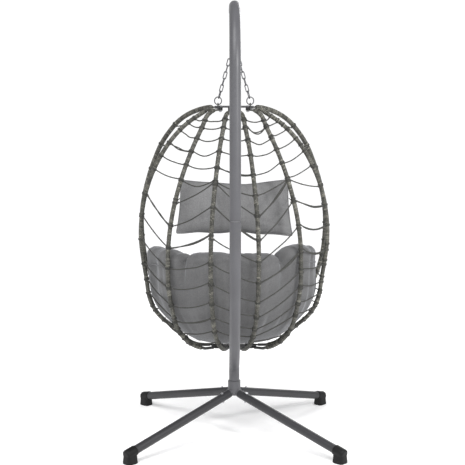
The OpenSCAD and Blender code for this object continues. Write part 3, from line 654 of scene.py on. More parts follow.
# ------------------------------------------------------------------ net: cords between the ribs, and their knots
NETS = {
    "back": ("rear", "back", {
        -1: [[1420, 1420, 6], [1388, 1386, 6], [1340, 1338, 12], [1284, 1282, 18], [1216, 1222, 12], [1158, 1154, 22], [1148, 1058, 8], [1048, 960, 10], [930, 864, 10], [815, 776, 14], [728, 690, 14], [642, 610, 14], [572, 540, 12], [510, 484, 8], [450, 440, 6]],
        1: [[1420, 1420, 8], [1389, 1387, 22], [1328, 1336, 16], [1265, 1290, 12], [1182, 1232, 10], [1097, 1157, 8], [1007, 1150, 8], [910, 1060, 10], [820, 950, 10], [728, 844, 12], [644, 758, 12], [575, 690, 12], [520, 618, 10], [484, 564, 8], [455, 480, 6]]}),
    "side": ("back", "side", {
        -1: [[1420, 1430, 5], [1386, 1410, 6], [1338, 1376, 6], [1280, 1318, 6], [1222, 1262, 8], [1160, 1200, 8], [964, 1086, 8], [870, 988, 8], [778, 886, 8], [695, 775, 10], [616, 704, 10], [556, 644, 8], [505, 585, 8], [460, 520, 6], [430, 455, 5]],
        1: [[1420, 1440, 5], [1396, 1418, 6], [1348, 1382, 6], [1290, 1338, 6], [1228, 1282, 8], [1166, 1218, 8], [1156, 1124, 8], [1065, 1038, 10], [962, 948, 18], [860, 838, 18], [774, 772, 10], [700, 694, 10], [627, 642, 10], [573, 584, 8], [505, 520, 8], [440, 455, 6]]}),
    "rim": ("side", "rim", {
        -1: [[1410, 1400, 7], [1318, 1306, 7], [1200, 1190, 7], [1086, 1070, 9], [988, 970, 9], [886, 868, 9], [775, 766, 9], [704, 690, 9], [644, 632, 9], [565, 560, 9], [490, 490, 9], [430, 436, 7]],
        1: [[1400, 1394, 7], [1308, 1300, 7], [1210, 1196, 7], [1124, 1110, 9], [1038, 1020, 9], [948, 930, 9], [864, 846, 9], [792, 776, 9], [716, 700, 9], [655, 640, 9], [598, 590, 9], [556, 548, 9], [490, 490, 9], [430, 436, 7]]}),
}
REAR_L = [[1425, 1425, 4], [1385, 1383, 5], [1338, 1334, 8], [1282, 1268, 8], [1211, 1184, 8], [1150, 1096, 8], [1140, 1015, 8], [1044, 914, 8], [914, 820, 8], [806, 730, 10], [720, 648, 10], [636, 584, 10], [571, 524, 8], [511, 483, 8]]
DOUBLE = {("back", -1): (8, 12), ("back", 1): (1, 6, 9), ("side", -1): (3, 6, 9), ("side", 1): (7, 8, 9), ("rim", -1): (), ("rim", 1): (5,), "rear": (4, 7)}
ROPE_R = 2.85
knots = {}          # (rib, side) -> list of arrays


def rib_radius(k):
    return 11.1 if k == "rim" else 9.9


def plait(P, r=ROPE_R, m=8, pitch=9.0):
    """A round cord along P (mm) with a fine plait in its surface."""
    _, N, B = frames(P)
    s = np.concatenate([[0], np.cumsum(np.linalg.norm(np.diff(P, axis=0), axis=1))])
    a = np.arange(m) / m
    u = (s[:, None] / pitch + a[None]) % 0.5 * 2
    v = (s[:, None] / pitch - a[None]) % 0.5 * 2
    h = np.maximum(1 - np.abs(2 * u - 1), 1 - np.abs(2 * v - 1))
    R = r * (0.93 + 0.12 * h)
    V, F = tube_arrays(P, R, m, N, B)
    # the relief height is also the cord's painted shade
    T = np.concatenate([h.ravel(), [0.3, 0.3]])
    return V, F, T


def sag_line(a, b, sag, n, wave, seed):
    """Points from a to b hanging by sag mm, with a lazy wave in it."""
    t = np.linspace(0, 1, n)[:, None]
    r = np.random.default_rng(seed)
    P = a * (1 - t) + b * t
    P[:, 2] -= sag * 4 * (t * (1 - t))[:, 0]
    d = unit(b - a)
    side = np.cross(d, [0, 0, 1.0])
    side = unit(side)
    up = np.cross(side, d)
    f1, f2 = 1.0 + r.random(), 1.6 + r.random()
    p1, p2 = r.random(2) * 6.28
    env = np.sin(np.pi * t[:, 0])
    w1 = wave * (np.sin(f1 * np.pi * t[:, 0] + p1) * 0.75 + np.sin(f2 * np.pi * t[:, 0] + p2) * 0.25) * env
    w2 = wave * 0.5 * np.sin(f1 * np.pi * t[:, 0] + p2) * env
    return P + up * w1[:, None] + side * w2[:, None]


def knot(k, side, s, away, seed):
    """Two turns of cord round the winding, crossed by a third, with a small nub on the side the strand leaves."""
    r = np.random.default_rng(seed)
    rib = RIBS[k]
    turns = 1.5 + 0.3 * r.random()
    pitch = 4.2
    n = 24
    t = np.linspace(0, turns, n)
    ss = s + (t - turns / 2) * pitch * (1 if r.random() < 0.5 else -1)
    p, N, B = rib.line(ss, side)
    p = p * 1000
    p0, N0, B0 = rib.line(np.array([s]), side)
    # angle of the leaving strand round the rib
    a0 = math.atan2(float(away @ B0[0]), float(away @ N0[0]))
    R = rib_radius(k) + 1.35
    ang = a0 + 2 * np.pi * t + 0.3
    P = p + R * (np.cos(ang)[:, None] * N + np.sin(ang)[:, None] * B)
    parts = [plait(P, 1.8, 7)]
    # the hitch: a short loop drawn over the turns
    c = p0[0] * 1000 + (R + 0.9) * (math.cos(a0) * N0[0] + math.sin(a0) * B0[0])
    T0 = np.cross(N0[0], B0[0])
    q = np.linspace(0, 2 * np.pi, 14)
    out = math.cos(a0) * N0[0] + math.sin(a0) * B0[0]
    tang = -math.sin(a0) * N0[0] + math.cos(a0) * B0[0]
    L = c + np.outer(np.sin(q) * 4.6, T0) + np.outer(np.cos(q) * 2.3, tang) + np.outer(0.8 * np.cos(2 * q) + 0.4, out)
    parts.append(plait(L, 1.65, 7))
    knots.setdefault((k, side), []).extend(parts)
    return c


def strand(name, ka, sa, kb, sb, za, zb, sag, bodies, node, seed, twice=False):
    A, B = RIBS[ka], RIBS[kb]
    s0, s1 = A.s_at(za), B.s_at(zb)
    a, _, _ = A.line(np.array([s0]), sa)
    b, _, _ = B.line(np.array([s1]), sb)
    a, b = a[0] * 1000, b[0] * 1000
    away = unit(b - a)
    ca, cb = knot(ka, sa, s0, away, seed * 7 + 1), knot(kb, sb, s1, -away, seed * 7 + 2)
    L = np.linalg.norm(cb - ca)
    n = int(max(12, L / 5))
    rr = np.random.default_rng(seed)
    wave = (0.6 + 2.6 * rr.random() ** 2) * min(1.0, L / 90)
    parts = [plait(sag_line(ca, cb, sag, n, wave, seed))]
    if twice:
        off = unit(np.cross(away, [0, 1.0, 0])) * 4.6
        parts.append(plait(sag_line(ca + off * 0.6, cb - off * 0.8, sag + 4, n, wave + 1.2, seed + 500)))
    V, F, T = join_arrays(parts)
    ob = make(name, V / 1000, F, M_ROPE, turn=T)
    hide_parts(node)
    if bodies[0] == bodies[1]:
        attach(ob, bodies[0])
    else:
        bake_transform(ob)


seed = 100
for bay, (ka, kb, sides) in NETS.items():
    for side, rows in sides.items():
        sd = "left" if side < 0 else "right"
        for i, (za, zb, sag) in enumerate(rows):
            seed += 1
            strand("cord_%s_%s_%02d" % (bay, sd, i), ka, side, kb, side, za, zb, sag,
                   (body_of_rib(ka, side), body_of_rib(kb, side)), "net_%s_%s" % (bay, sd), seed, i in DOUBLE[(bay, side)])
for i, (za, zb, sag) in enumerate(REAR_L):
    seed += 1
    strand("cord_rear_%02d" % i, "rear", -1, "rear", 1, za, zb, sag, ("basket", "basket"), "net_rear", seed, i in DOUBLE["rear"])

KNOT_NODE = {"rear": "net_rear", "back": "net_back_%s", "side": "net_side_%s", "rim": "net_rim_%s"}
for (k, side), parts in sorted(knots.items()):
    V, F, T = join_arrays(parts)
    sd = "left" if side < 0 else "right"
    ob = make("knots_%s_%s" % (k, sd), V / 1000, F, M_ROPE, turn=T)
    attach(ob, body_of_rib(k, side))
    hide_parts(KNOT_NODE[k] % sd if "%" in KNOT_NODE[k] else KNOT_NODE[k])

# ------------------------------------------------------------------ pole: two swept tubes with bevelled meeting ends
BOW, JOINT, BEND, R1 = 448.0, 1032.0, 2 * math.atan(448 / (1032 - 247)), 100.0
R2 = BOW / (1 - math.cos(BEND)) - R1
LOW = [[0, 175], [0, JOINT - (R1 + R2) * math.sin(BEND)], [-R1 * (1 - math.cos(BEND)), JOINT - R2 * math.sin(BEND)], [-BOW, JOINT]]
c6, s6 = math.cos(math.radians(6)), math.sin(math.radians(6))
UP = [[-BOW, JOINT], [-BOW + 2000 * (1 - c6), JOINT + 2000 * s6], [-BOW + 54.9, 1649], [-BOW + 54.9 + 330 * c6, 1649 + 330 * (1 - s6)]]
UP.append([UP[3][0] + 30, UP[3][1]])
UP.append([UP[4][0] + 330 * math.sin(math.radians(15)), UP[4][1] - 330 * (1 - math.cos(math.radians(15)))])


def pole(name, pts, node, trim0, trim1):
    P, _ = sample(chain_arcs(pts, [0, 1]), 9.0)
    S = np.concatenate([[0], np.cumsum(np.linalg.norm(np.diff(P, axis=0), axis=1))])
    end = S[-1]
    s = np.unique(np.concatenate([S[(S > trim0 + 4) & (S < end - trim1 - 4)], trim0 + np.array([0, 0.25, 0.7, 1.4, 2.4, 4]), end - trim1 - np.array([0, 0.25, 0.7, 1.4, 2.4, 4])]))
    Q = np.stack([np.zeros_like(s), np.interp(s, S, P[:, 0]), np.interp(s, S, P[:, 1])], -1)
    T = unit(np.gradient(Q, s, axis=0))
    N = np.repeat(np.array([[1.0, 0, 0]]), len(s), 0)
    B = np.cross(T, N)
    e = np.minimum(s - trim0, end - trim1 - s)
    R = 24.0 - 1.4 * np.clip(1 - e / 1.6, 0, 1) ** 2
    # open tube: outside, then a short way back inside at each end
    inner = 22.0
    ring = lambda j, r, shift: (Q[j] + T[j] * shift, r, N[j], B[j])
    seq = [ring(0, inner, 14), ring(0, inner, 0.2)] + [(Q[j], R[j], N[j], B[j]) for j in range(len(s))] + [ring(-1, inner, -0.2), ring(-1, inner, -14)]
    V, F = tube_arrays(np.array([x[0] for x in seq]), np.array([x[1] for x in seq]), 64,
                       np.array([x[2] for x in seq]), np.array([x[3] for x in seq]), caps=False)
    # close the wall behind the mouth with a disc, out of sight
    n, m = len(seq), 64
    F = F + [[q for q in range(m)][::-1], [(n - 1) * m + q for q in range(m)]]
    ob = make(name, V / 1000, F, M_COAT)
    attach(ob, "stand")
    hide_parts(node)


pole("pole_tube_low", LOW, "pole_lower", 0.0, 0.9)
pole("pole_tube_high", UP, "pole_upper", 0.9, 0.0)
for ob in (nodes["pole_spigot"],):
    ob.data.materials.clear()
    ob.data.materials.append(M_ZINC)


# ------------------------------------------------------------------ moulded foot cups
def applied(ob):
    """Bake the object's modifiers into its mesh."""
    dg = bpy.context.evaluated_depsgraph_get()
    me = bpy.data.meshes.new_from_object(ob.evaluated_get(dg))
    ob.modifiers.clear()
    old = ob.data
    ob.data = me
    bpy.data.meshes.remove(old)
    return ob


LEG_ANG = math.atan((194 - 42) / (445 * math.sqrt(2) + 14))
LEG_LEN = math.hypot(445 * math.sqrt(2) + 14, 152)


def foot(node, sx, sy):
    out = unit([sx, sy, 0])
    cross = np.cross([0, 0, 1.0], out)
    axis = out * math.cos(LEG_ANG) - np.array([0, 0, math.sin(LEG_ANG)])
    at = np.array([0, 0, 194.0])
    prof = [(0, -44), (20.4, -44), (22.0, -43), (22.6, -40), (22.8, -12), (22.6, 4), (21.6, 8.5), (19, 11), (13, 12.2), (0, 12.6)]
    V1, F1 = lathe(prof, at + axis * LEG_LEN, axis, 36)
    # boot: stations from the sleeve down to the floor, a rounded square that spreads inwards
    foot_c = out * (445 * math.sqrt(2))
    st = [(50, 0, 18, 14), (44, 0, 24, 20), (30, 0, 26, 22.5), (14, 0, 27, 24), (5, 0, 27.8, 25), (1.4, 0, 27.5, 24.7), (0.0, 0, 26.0, 23.2)]
    a = np.arange(40) * 2 * np.pi / 40
    ca, sa = np.cos(a), np.sin(a)
    q = (np.abs(ca) ** 4.5 + np.abs(sa) ** 4.5) ** (-1 / 4.5)
    rings = []
    for z, sh, hx, hy in st:
        rings.append(foot_c + out * sh + np.outer(q * ca * hx, out) + np.outer(q * sa * hy, cross) + np.array([0, 0, z]))
    V2 = np.vstack(rings)
    m, n = 40, len(st)
    F2 = [[i * m + j, (i + 1) * m + j, (i + 1) * m + (j + 1) % m, i * m + (j + 1) % m] for i in range(n - 1) for j in range(m)]
    F2 += [list(range(m)), [(n - 1) * m + j for j in range(m)][::-1]]
    V, F, _ = join_arrays([(V1, F1), (V2, F2)])
    ob = make("cup" + node[4:], V / 1000, F, M_PLAST)
    md = ob.modifiers.new("one", "REMESH")
    md.mode, md.voxel_size, md.use_smooth_shade = "VOXEL", 0.0019, True
    sm = ob.modifiers.new("soft", "SMOOTH")
    sm.factor, sm.iterations = 0.5, 5
    applied(ob)
    me = ob.data
    co = np.zeros(len(me.vertices) * 3, np.float32)
    me.vertices.foreach_get("co", co)
    co = co.reshape(-1, 3)
    co[:, 2] = np.where(co[:, 2] < 0.0012, np.maximum(co[:, 2] * 0.3, 0.0), co[:, 2])
    me.vertices.foreach_set("co", co.ravel())
    me.materials.clear()
    me.materials.append(M_PLAST)
    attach(ob, "stand")
    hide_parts(node)


foot("foot_rear_left", -1, -1)
foot("foot_rear_right", 1, -1)
foot("foot_front_left", -1, 1)
foot("foot_front_right", 1, 1)

# arm cap: domed end plug with a lip
e0, e1 = UP[5]
capd = unit([0, math.cos(math.radians(15)), -math.sin(math.radians(15))])
V, F = lathe([(0, -12), (20, -12), (20.4, -10), (20.4, 0.0), (23.3, 0.1), (23.9, 0.8), (23.9, 2.2), (23.2, 3.4), (20, 4.2), (12, 4.9), (0, 5.2)],
             [0, e0, e1], capd, 56)
ob = make("arm_plug", V / 1000, F, M_PLAST)
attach(ob, "stand")
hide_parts("arm_cap")

# ------------------------------------------------------------------ seat cushion
HALF_W = np.array([[400, 145], [430, 200], [470, 258], [520, 314], [560, 352], [620, 386], [700, 410], [780, 425], [862, 437], [1000, 437]], float)
REAR_D = np.array([[400, 76], [412, 122], [450, 200], [492, 246], [560, 295], [618, 318], [700, 335], [820, 345], [1000, 345]], float)
CUSHION_TOP, SEAT_Z, FIT = 862.0, 525.0, 0.92


def plan_r(a, z):
    w = np.interp(z, HALF_W[:, 0], HALF_W[:, 1]) * (1 + 0.055 * (1 - smooth(z, 540, 800)))
    d0 = np.interp(z, REAR_D[:, 0], REAR_D[:, 1])
    s, c = np.abs(np.sin(a)), np.cos(a)
    rear = FIT / ((s / w) ** 2 + (np.abs(c) / d0) ** 2) ** 0.5
    df = 195 * w / 437
    front = FIT / ((s / w) ** 3 + (np.abs(c) / df) ** 3) ** (1 / 3)
    return np.where(c > 0, rear, front)


def top_at(deg):
    b = np.abs(deg)
    base = CUSHION_TOP - 16 + 16 * smooth(b, 40, 60)
    return np.where(b < 95, base, np.where(b < 130, CUSHION_TOP - (CUSHION_TOP - 545) * (1 - np.cos(np.clip((b - 95) / 35, 0, 1) * np.pi)) / 2, 545))


def thick_at(deg):
    return 105 - 13 * smooth(np.abs(deg), 55, 65)


def cushion_rows(deg):
    """Profile control points (radius, height) for one direction, outer bottom to seat centre."""
    a = np.radians(deg)
    t, th = float(top_at(deg)), float(thick_at(deg))
    zb, zo = 424.0, t - 34
    rows = [[0.0, 420.0], [plan_r(a, zb) * 0.45, 420.5]]
    for i in range(8):
        z = zb + (zo - zb) * (i / 7) ** 1.2
        rows.append([float(plan_r(a, z)) * (0.92 if i == 0 else 1), z])
    rows.append([float(plan_r(a, t)) - th * 0.05, t - 19])
    rows.append([float(plan_r(a, t)) - th * 0.24, t - 4.5])
    rows.append([float(plan_r(a, t)) - th * 0.50, t + 0.5])
    rows.append([float(plan_r(a, t)) - th * 0.78, t - 7])
    for i in range(6):
        k = i / 5
        z = (t - 30) + (SEAT_Z + 14 - (t - 30)) * k
        zz = max(z, SEAT_Z + 10)
        rows.append([(float(plan_r(a, max(z, 560))) - th) * (1 - 0.22 * k * k), zz])
    r = rows[-1][0]
    rows += [[r * 0.72, SEAT_Z + 6], [r * 0.4, SEAT_Z + 9], [0.0, SEAT_Z + 9]]
    return np.array(rows, float)


def catmull(P, n):
    """n points evenly spaced along a smooth line through P."""
    P = np.vstack([2 * P[0] - P[1], P, 2 * P[-1] - P[-2]])
    out = []
    for i in range(1, len(P) - 2):
        p0, p1, p2, p3 = P[i - 1], P[i], P[i + 1], P[i + 2]
        t = np.linspace(0, 1, 12, endpoint=False)[:, None]
        out.append(0.5 * (2 * p1 + (p2 - p0) * t + (2 * p0 - 5 * p1 + 4 * p2 - p3) * t ** 2 + (3 * p1 - p0 - 3 * p2 + p3) * t ** 3))
    Q = np.vstack(out + [P[-2][None]])
    s = np.concatenate([[0], np.cumsum(np.linalg.norm(np.diff(Q, axis=0), axis=1))])
    u = np.linspace(0, s[-1], n)
    return np.stack([np.interp(u, s, Q[:, 0]), np.interp(u, s, Q[:, 1])], -1), u


def fold_noise(a, z, seed, fa, fz):
    """Soft noise, a in radians of direction and z in metres, periodic in a."""
    out = np.empty(a.shape)
    x, y = np.cos(a) * fa, np.sin(a) * fa
    for i in np.ndindex(a.shape):
        out[i] = noise.noise(Vector((x[i] + seed, y[i], z[i] * fz)))
    return out


def seat_cushion():
    na, nv = (200, 120)
    deg = np.linspace(-180, 180, na, endpoint=False)
    G = np.zeros((nv, na, 3))
    Z = np.zeros((nv, na))
    RHO = np.zeros((nv, na))
    for j, d in enumerate(deg):
        q, _ = catmull(cushion_rows(d), nv)
        RHO[:, j], Z[:, j] = q[:, 0], q[:, 1]
    A = np.radians(deg)[None].repeat(nv, 0)
    D = deg[None].repeat(nv, 0)
    v = np.linspace(0, 1, nv)[:, None].repeat(na, 1)
    # where along the profile the rim of the bucket lies, per direction
    rim_v = Z.argmax(0) / (nv - 1)
    outer = v < rim_v[None]
    up = np.clip((Z - 424) / (top_at(D) - 424), 0, 1)       # 0 bottom, 1 top
    below = top_at(D) - Z                                    # mm below the local top edge
    t = np.zeros_like(Z)
    # the two arms bulge, the back panel between the creases is flatter
    arm = smooth(np.abs(D), 42, 58) * (1 - smooth(np.abs(D), 100, 122))
    t += 9 * arm * smooth(up, 0.35, 0.9) * np.where(outer, 1, 0.6)
    # creases between back panel and arms, with gathers running out of them
    for c in (-39.5, 43.0):
        x = D - c
        depth = 32 * np.exp(-(x / 2.2) ** 2) * (1 - smooth(below, 14, 190)) * np.where(outer, 1, 0.8)
        t -= depth
        g = np.exp(-(np.abs(x) / 11) ** 2) * (1 - smooth(below, 0, 130))
        t -= 3.2 * g * (0.5 + 0.5 * np.sin(x * 1.35 + below * 0.02 * np.sign(x)))
    # the pad tucks in under each arm lump beside the crease
    for c, w0 in ((-34.0, 5.0), (37.5, 5.5)):
        t -= 9.0 * np.exp(-((D - c) / w0) ** 2) * np.exp(-((below - 34) / 26) ** 2) * np.where(outer, 1, 0.4)
    # a short upright crease in the middle of the back panel
    t -= 12.0 * np.exp(-((D - 1.5) / 2.0) ** 2) * (1 - smooth(below, 16, 58)) * np.where(outer, 1, 0.3)
    # front corners of the arms pulled in
    for c in (-98.0, 98.0):
        x = D - c
        t -= 8 * np.exp(-(x / 4.0) ** 2) * (1 - smooth(below, 30, 160))
    # upright soft folds on the outside, finer ones near the top edge
    n1 = fold_noise(A, Z / 1000, 3.1, 3.6, 1.1)
    n2 = fold_noise(A, Z / 1000, 8.7, 8.5, 2.2)
    n3 = fold_noise(A, Z / 1000, 17.3, 17.0, 7.0)
    ridge = 1 - 2 * np.abs(n2)
    wall = smooth(up, 0.08, 0.3)
    # long upright folds that hang from the top edge and die out half way down
    n4 = fold_noise(A, Z / 1000, 41.0, 12.0, 0.7)
    hang = (1 - smooth(below, 120, 330)) * smooth(below, 4, 30)
    t += (13.0 * n1 + 7.0 * n2 + 5.0 * n3 + 3.0 * (ridge - 0.6) + 7.0 * n4 * hang) * wall * np.where(outer, 1, 0.7)
    # a sewn fold that follows the top edge 28 mm below it, rear only
    rear = 1 - smooth(np.abs(D), 36, 42)
    t -= np.where(outer, 3.6 * np.exp(-((below - 44 - 22 * n1) / 8.0) ** 2) * rear, 0)
    # inside: upright sewn channels on back and arms, a round seam on the seat
    inner = ~outer & (Z < top_at(D) - 40) & (Z > SEAT_Z + 18)
    for c in np.arange(-120, 121, 24.0):
        x = (D - c) * 4.5
        t -= np.where(inner, 9.0 * np.exp(-(x / 13) ** 2) * smooth(below, 40, 80) * smooth(Z, SEAT_Z + 20, SEAT_Z + 60), 0)
    seat = (~outer) & (Z < SEAT_Z + 40)
    ringr = RHO.max() * 0.0 + 118
    t -= np.where(seat, 7.0 * np.exp(-((RHO - ringr) / 7.0) ** 2), 0)
    t += np.where(seat & (RHO < ringr), 9 * (1 - (RHO / ringr) ** 2), 0)
    # left and right are not twins: the right side sits a little further in
    shrink = 1 - 0.075 * smooth(-D, 40, 84) * smooth(up, 0.45, 0.95) - 0.030 * smooth(D, 40, 84) * smooth(up, 0.45, 0.95)
    # profile normals in the (radius, height) plane
    dr, dz = np.gradient(RHO, axis=0), np.gradient(Z, axis=0)
    L = np.maximum(np.hypot(dr, dz), 1e-6)
    nr, nz = dz / L, -dr / L
    R2, Z2 = (RHO + nr * t) * shrink, Z + nz * t
    R2 = np.maximum(R2, 0)
    # the left arm is lumpier at the top
    Z2 += 7 * np.exp(-((D - 66) / 14) ** 2) * smooth(up, 0.8, 1.0) + 8 * np.exp(-((D + 52) / 8) ** 2) * smooth(up, 0.8, 1.0)
    Z2 -= 26 * smooth(D, 43, 52) * (1 - smooth(D, 92, 112)) * smooth(up, 0.55, 1.0)
    Z2 -= 24 * smooth(-D, 58, 84) * (1 - smooth(-D, 96, 118)) * smooth(up, 0.6, 1.0)
    Z2 -= 5 * smooth(np.abs(D + 20), 22, 0) * smooth(up, 0.85, 1.0)
    for c in (-39.5, 43.0):
        Z2 -= 15 * np.exp(-((D - c) / 3.2) ** 2) * smooth(up, 0.82, 1.0)
    Z2 += 3.5 * np.sin(np.radians(D) * 5 + 0.6) * rear * smooth(up, 0.85, 1.0)
    G = np.stack([-R2 * np.sin(A), -R2 * np.cos(A), Z2], -1)
    W = world(settle(G))
    V = W[1:-1].reshape(-1, 3)
    m = na
    rows = nv - 2
    F = []
    for i in range(rows - 1):
        for j in range(m):
            k = (j + 1) % m
            F.append([i * m + j, i * m + k, (i + 1) * m + k, (i + 1) * m + j])
    V = np.vstack([V, W[0].mean(0), W[-1].mean(0)])
    n = rows * m
    F += [[n, (j + 1) % m, j] for j in range(m)]
    F += [[n + 1, (rows - 1) * m + j, (rows - 1) * m + (j + 1) % m] for j in range(m)]
    arc = np.concatenate([[0], np.cumsum(np.linalg.norm(np.diff(W[:, 0], axis=0), axis=1))])
    uv = np.stack([(A * 0.36)[1:-1].ravel(), np.repeat(arc[1:-1], m)], -1)
    uv = np.vstack([uv, [0, 0], [0, arc[-1]]])
    ob = make("seat_pad", V, F, M_SEAT_PAINTED_SHADE, uvs=uv)
    md = ob.modifiers.new("sub", "SUBSURF")
    md.levels = md.render_levels = 1
    applied(ob)
    for f in ob.data.polygons:
        f.use_smooth = True
    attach(ob, "basket")
    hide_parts("seat_cushion")
    # piping round both arms
    kr = np.array([int(round(x * (nv - 1))) for x in rim_v])
    pipes = []
    for lo, hi, back in ((48, 96, 9), (-96, -46, 9)):
        idx = [j for j, d in enumerate(deg) if lo <= d <= hi]
        line = np.array([W[max(kr[j] - back, 0), j] for j in idx])
        nrm = np.array([unit(np.cross(W[kr[j] - back + 1, j] - W[kr[j] - back - 1, j], W[kr[j] - back, (j + 1) % na] - W[kr[j] - back, j - 1])) for j in idx])
        c = np.array([0, 0.05, 0.75])
        sgn = np.sign(((line - c) * nrm).sum(1))[:, None]
        # smooth the run so that it lies taut over the folds
        for _ in range(3):
            line[1:-1] = (line[:-2] + 2 * line[1:-1] + line[2:]) / 4
        line = line + nrm * sgn * 0.0012
        n = len(line)
        e = np.minimum(np.arange(n), n - 1 - np.arange(n)) / 3.0
        rad = 0.0030 * np.clip(0.35 + e, 0, 1)
        Vp, Fp = tube_arrays(line, rad, 12)
        s = np.concatenate([[0], np.cumsum(np.linalg.norm(np.diff(line, axis=0), axis=1))])
        uvp = np.stack([np.repeat(s, 12), np.tile(np.arange(12) * 0.0019, n)], -1)
        pipes.append((Vp, Fp, np.vstack([uvp, [0, 0], [s[-1], 0]])))
    V, F, _ = join_arrays([(p[0], p[1]) for p in pipes])
    ob2 = make("seat_piping", V, F, M_SEAT_PAINTED_SHADE, uvs=np.vstack([p[2] for p in pipes]))
    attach(ob2, "basket")
    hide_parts("seat_cushion")
    return ob


seat_cushion()

# ------------------------------------------------------------------ head pillow and its ties
PW, PH = 515 / 2, 242 / 2
PIL = settle([0, -116, 1034])
PL = math.radians(12)


def in_pillow(p):
    p = np.asarray(p, float)
    x, y, z = p[..., 0], p[..., 1], p[..., 2]
    return world(np.stack([x, y * math.cos(PL) + z * math.sin(PL), -y * math.sin(PL) + z * math.cos(PL)], -1) + PIL)


def head_pillow():
    nu, nw = 96, 56
    u = np.linspace(-1, 1, nu)
    w = np.linspace(-1, 1, nw)
    U, Wd = np.meshgrid(u, w)
    # outline: sides pulled in between the corners, top edge sags, bottom edge wavy
    hx = (PW - 5 - 10 * Wd) * (1 - 0.030 * (1 - Wd ** 2))
    X = U * hx
    Zt = PH - 1 - 19 * (1 - U ** 2) ** 1.2 - 3 * np.sin(U * 5 + 0.4) * (1 - U ** 2)
    Zb = -PH + 1 - 12 * smooth(U, 0.1, 1.0) + 5 * (1 - U ** 2) + 3.5 * np.sin(U * 9 + 1.0) * (1 - U ** 4)
    Zc = Zb + (Zt - Zb) * (Wd + 1) / 2
    env = (np.clip(1 - np.abs(U) ** 2.6, 0, 1) ** 0.55) * (np.clip(1 - np.abs(Wd) ** 2.4, 0, 1) ** 0.6)
    sides = []
    for s in (-1, 1):
        f = fold_noise(X / 60, Zc / 1000, 31 + 5 * s, 2.0, 3.0) if False else np.array([[noise.noise(Vector((X[i, j] / 62, Zc[i, j] / 210, 4.0 + s))) for j in range(nu)] for i in range(nw)])
        g = np.array([[noise.noise(Vector((X[i, j] / 26, Zc[i, j] / 75, 9.0 + s))) for j in range(nu)] for i in range(nw)])
        T = 41 * env
        # folds fade out at the seam; gathers run in from the short sides
        T += env * (13.0 * f + 7.5 * g)
        # drawn creases that run down from the top seam and in from the corners
        for c0, sl, wd, dp in ((-0.40, 0.10, 0.05, 11.0), (-0.05, -0.12, 0.07, 8.0), (0.46, 0.16, 0.055, 10.0), (0.78, 0.12, 0.04, 7.0)):
            T -= dp * env * np.exp(-((U - c0 - sl * (1 - Wd)) / wd) ** 2) * smooth(Wd, -0.7, 0.7)
        T -= 5.0 * env * np.exp(-((Wd + 0.15 - 0.5 * U) / 0.10) ** 2) * smooth(-U, 0.15, 0.8)
        T -= 5.0 * env * np.exp(-((Wd + 0.25 + 0.5 * U) / 0.10) ** 2) * smooth(U, 0.2, 0.85)
        edge = np.exp(-((1 - np.abs(U)) / 0.10) ** 2)
        T -= 2.8 * edge * env ** 0.3 * (0.5 + 0.5 * np.sin(Zc / 4.8 + 2 * np.sin(Zc / 17)))
        low = np.exp(-((1 + Wd) / 0.22) ** 2) * np.exp(-((1 + U) / 0.25) ** 2)
        T -= 3.5 * low * (0.5 + 0.5 * np.sin(X / 3.6 + Zc / 9))
        Y = s * np.maximum(T, 0.0)
        sides.append(np.stack([X, Y, Zc], -1))
    rearP, frontP = sides
    V = [in_pillow(rearP).reshape(-1, 3), in_pillow(frontP).reshape(-1, 3)]
    n = nu * nw
    F = []
    for i in range(nw - 1):
        for j in range(nu - 1):
            a, b, c, d = i * nu + j, i * nu + j + 1, (i + 1) * nu + j + 1, (i + 1) * nu + j
            F.append([a, b, c, d])
            F.append([n + a, n + d, n + c, n + b])
    V = np.vstack(V)
    uv1 = np.stack([X.ravel() / 1000, Zc.ravel() / 1000], -1)
    ob = make("neck_pillow", V, F, M_FAB, uvs=np.vstack([uv1, uv1 + [0.6, 0]]))
    # weld the seam, round it a little
    import bmesh
    bm = bmesh.new()
    bm.from_mesh(ob.data)
    bmesh.ops.remove_doubles(bm, verts=bm.verts, dist=0.0002)
    bmesh.ops.recalc_face_normals(bm, faces=bm.faces)
    bm.to_mesh(ob.data)
    bm.free()
    md = ob.modifiers.new("sub", "SUBSURF")
    md.levels = md.render_levels = 1
    applied(ob)
    for f in ob.data.polygons:
        f.use_smooth = True
    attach(ob, "basket")
    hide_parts("head_pillow")
    # seam cord all round
    top = [in_pillow(np.array([X[-1, j], 0, Zc[-1, j]])) for j in range(nu)]
    right = [in_pillow(np.array([X[i, -1], 0, Zc[i, -1]])) for i in range(nw - 2, 0, -1)]
    bot = [in_pillow(np.array([X[0, j], 0, Zc[0, j]])) for j in range(nu - 1, -1, -1)]
    left = [in_pillow(np.array([X[i, 0], 0, Zc[i, 0]])) for i in range(1, nw - 1)]
    line = np.array(top + right + bot + left)
    for _ in range(2):
        line = (np.roll(line, 1, 0) + 2 * line + np.roll(line, -1, 0)) / 4
    T, N, B = frames(line, closed=True)
    m = 10
    a = np.arange(m) * 2 * np.pi / m
    Vc = (line[:, None] + 0.0031 * (np.cos(a)[None, :, None] * N[:, None] + np.sin(a)[None, :, None] * B[:, None])).reshape(-1, 3)
    k = len(line)
    Fc = [[i * m + j, i * m + (j + 1) % m, ((i + 1) % k) * m + (j + 1) % m, ((i + 1) % k) * m + j] for i in range(k) for j in range(m)]
    s = np.concatenate([[0], np.cumsum(np.linalg.norm(np.diff(line, axis=0), axis=1))])
    uvc = np.stack([np.repeat(s, m), np.tile(np.arange(m) * 0.0019, k)], -1)
    ob2 = make("neck_pillow_seam", Vc, Fc, M_FAB, uvs=uvc)
    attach(ob2, "basket")
    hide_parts("head_pillow")


head_pillow()

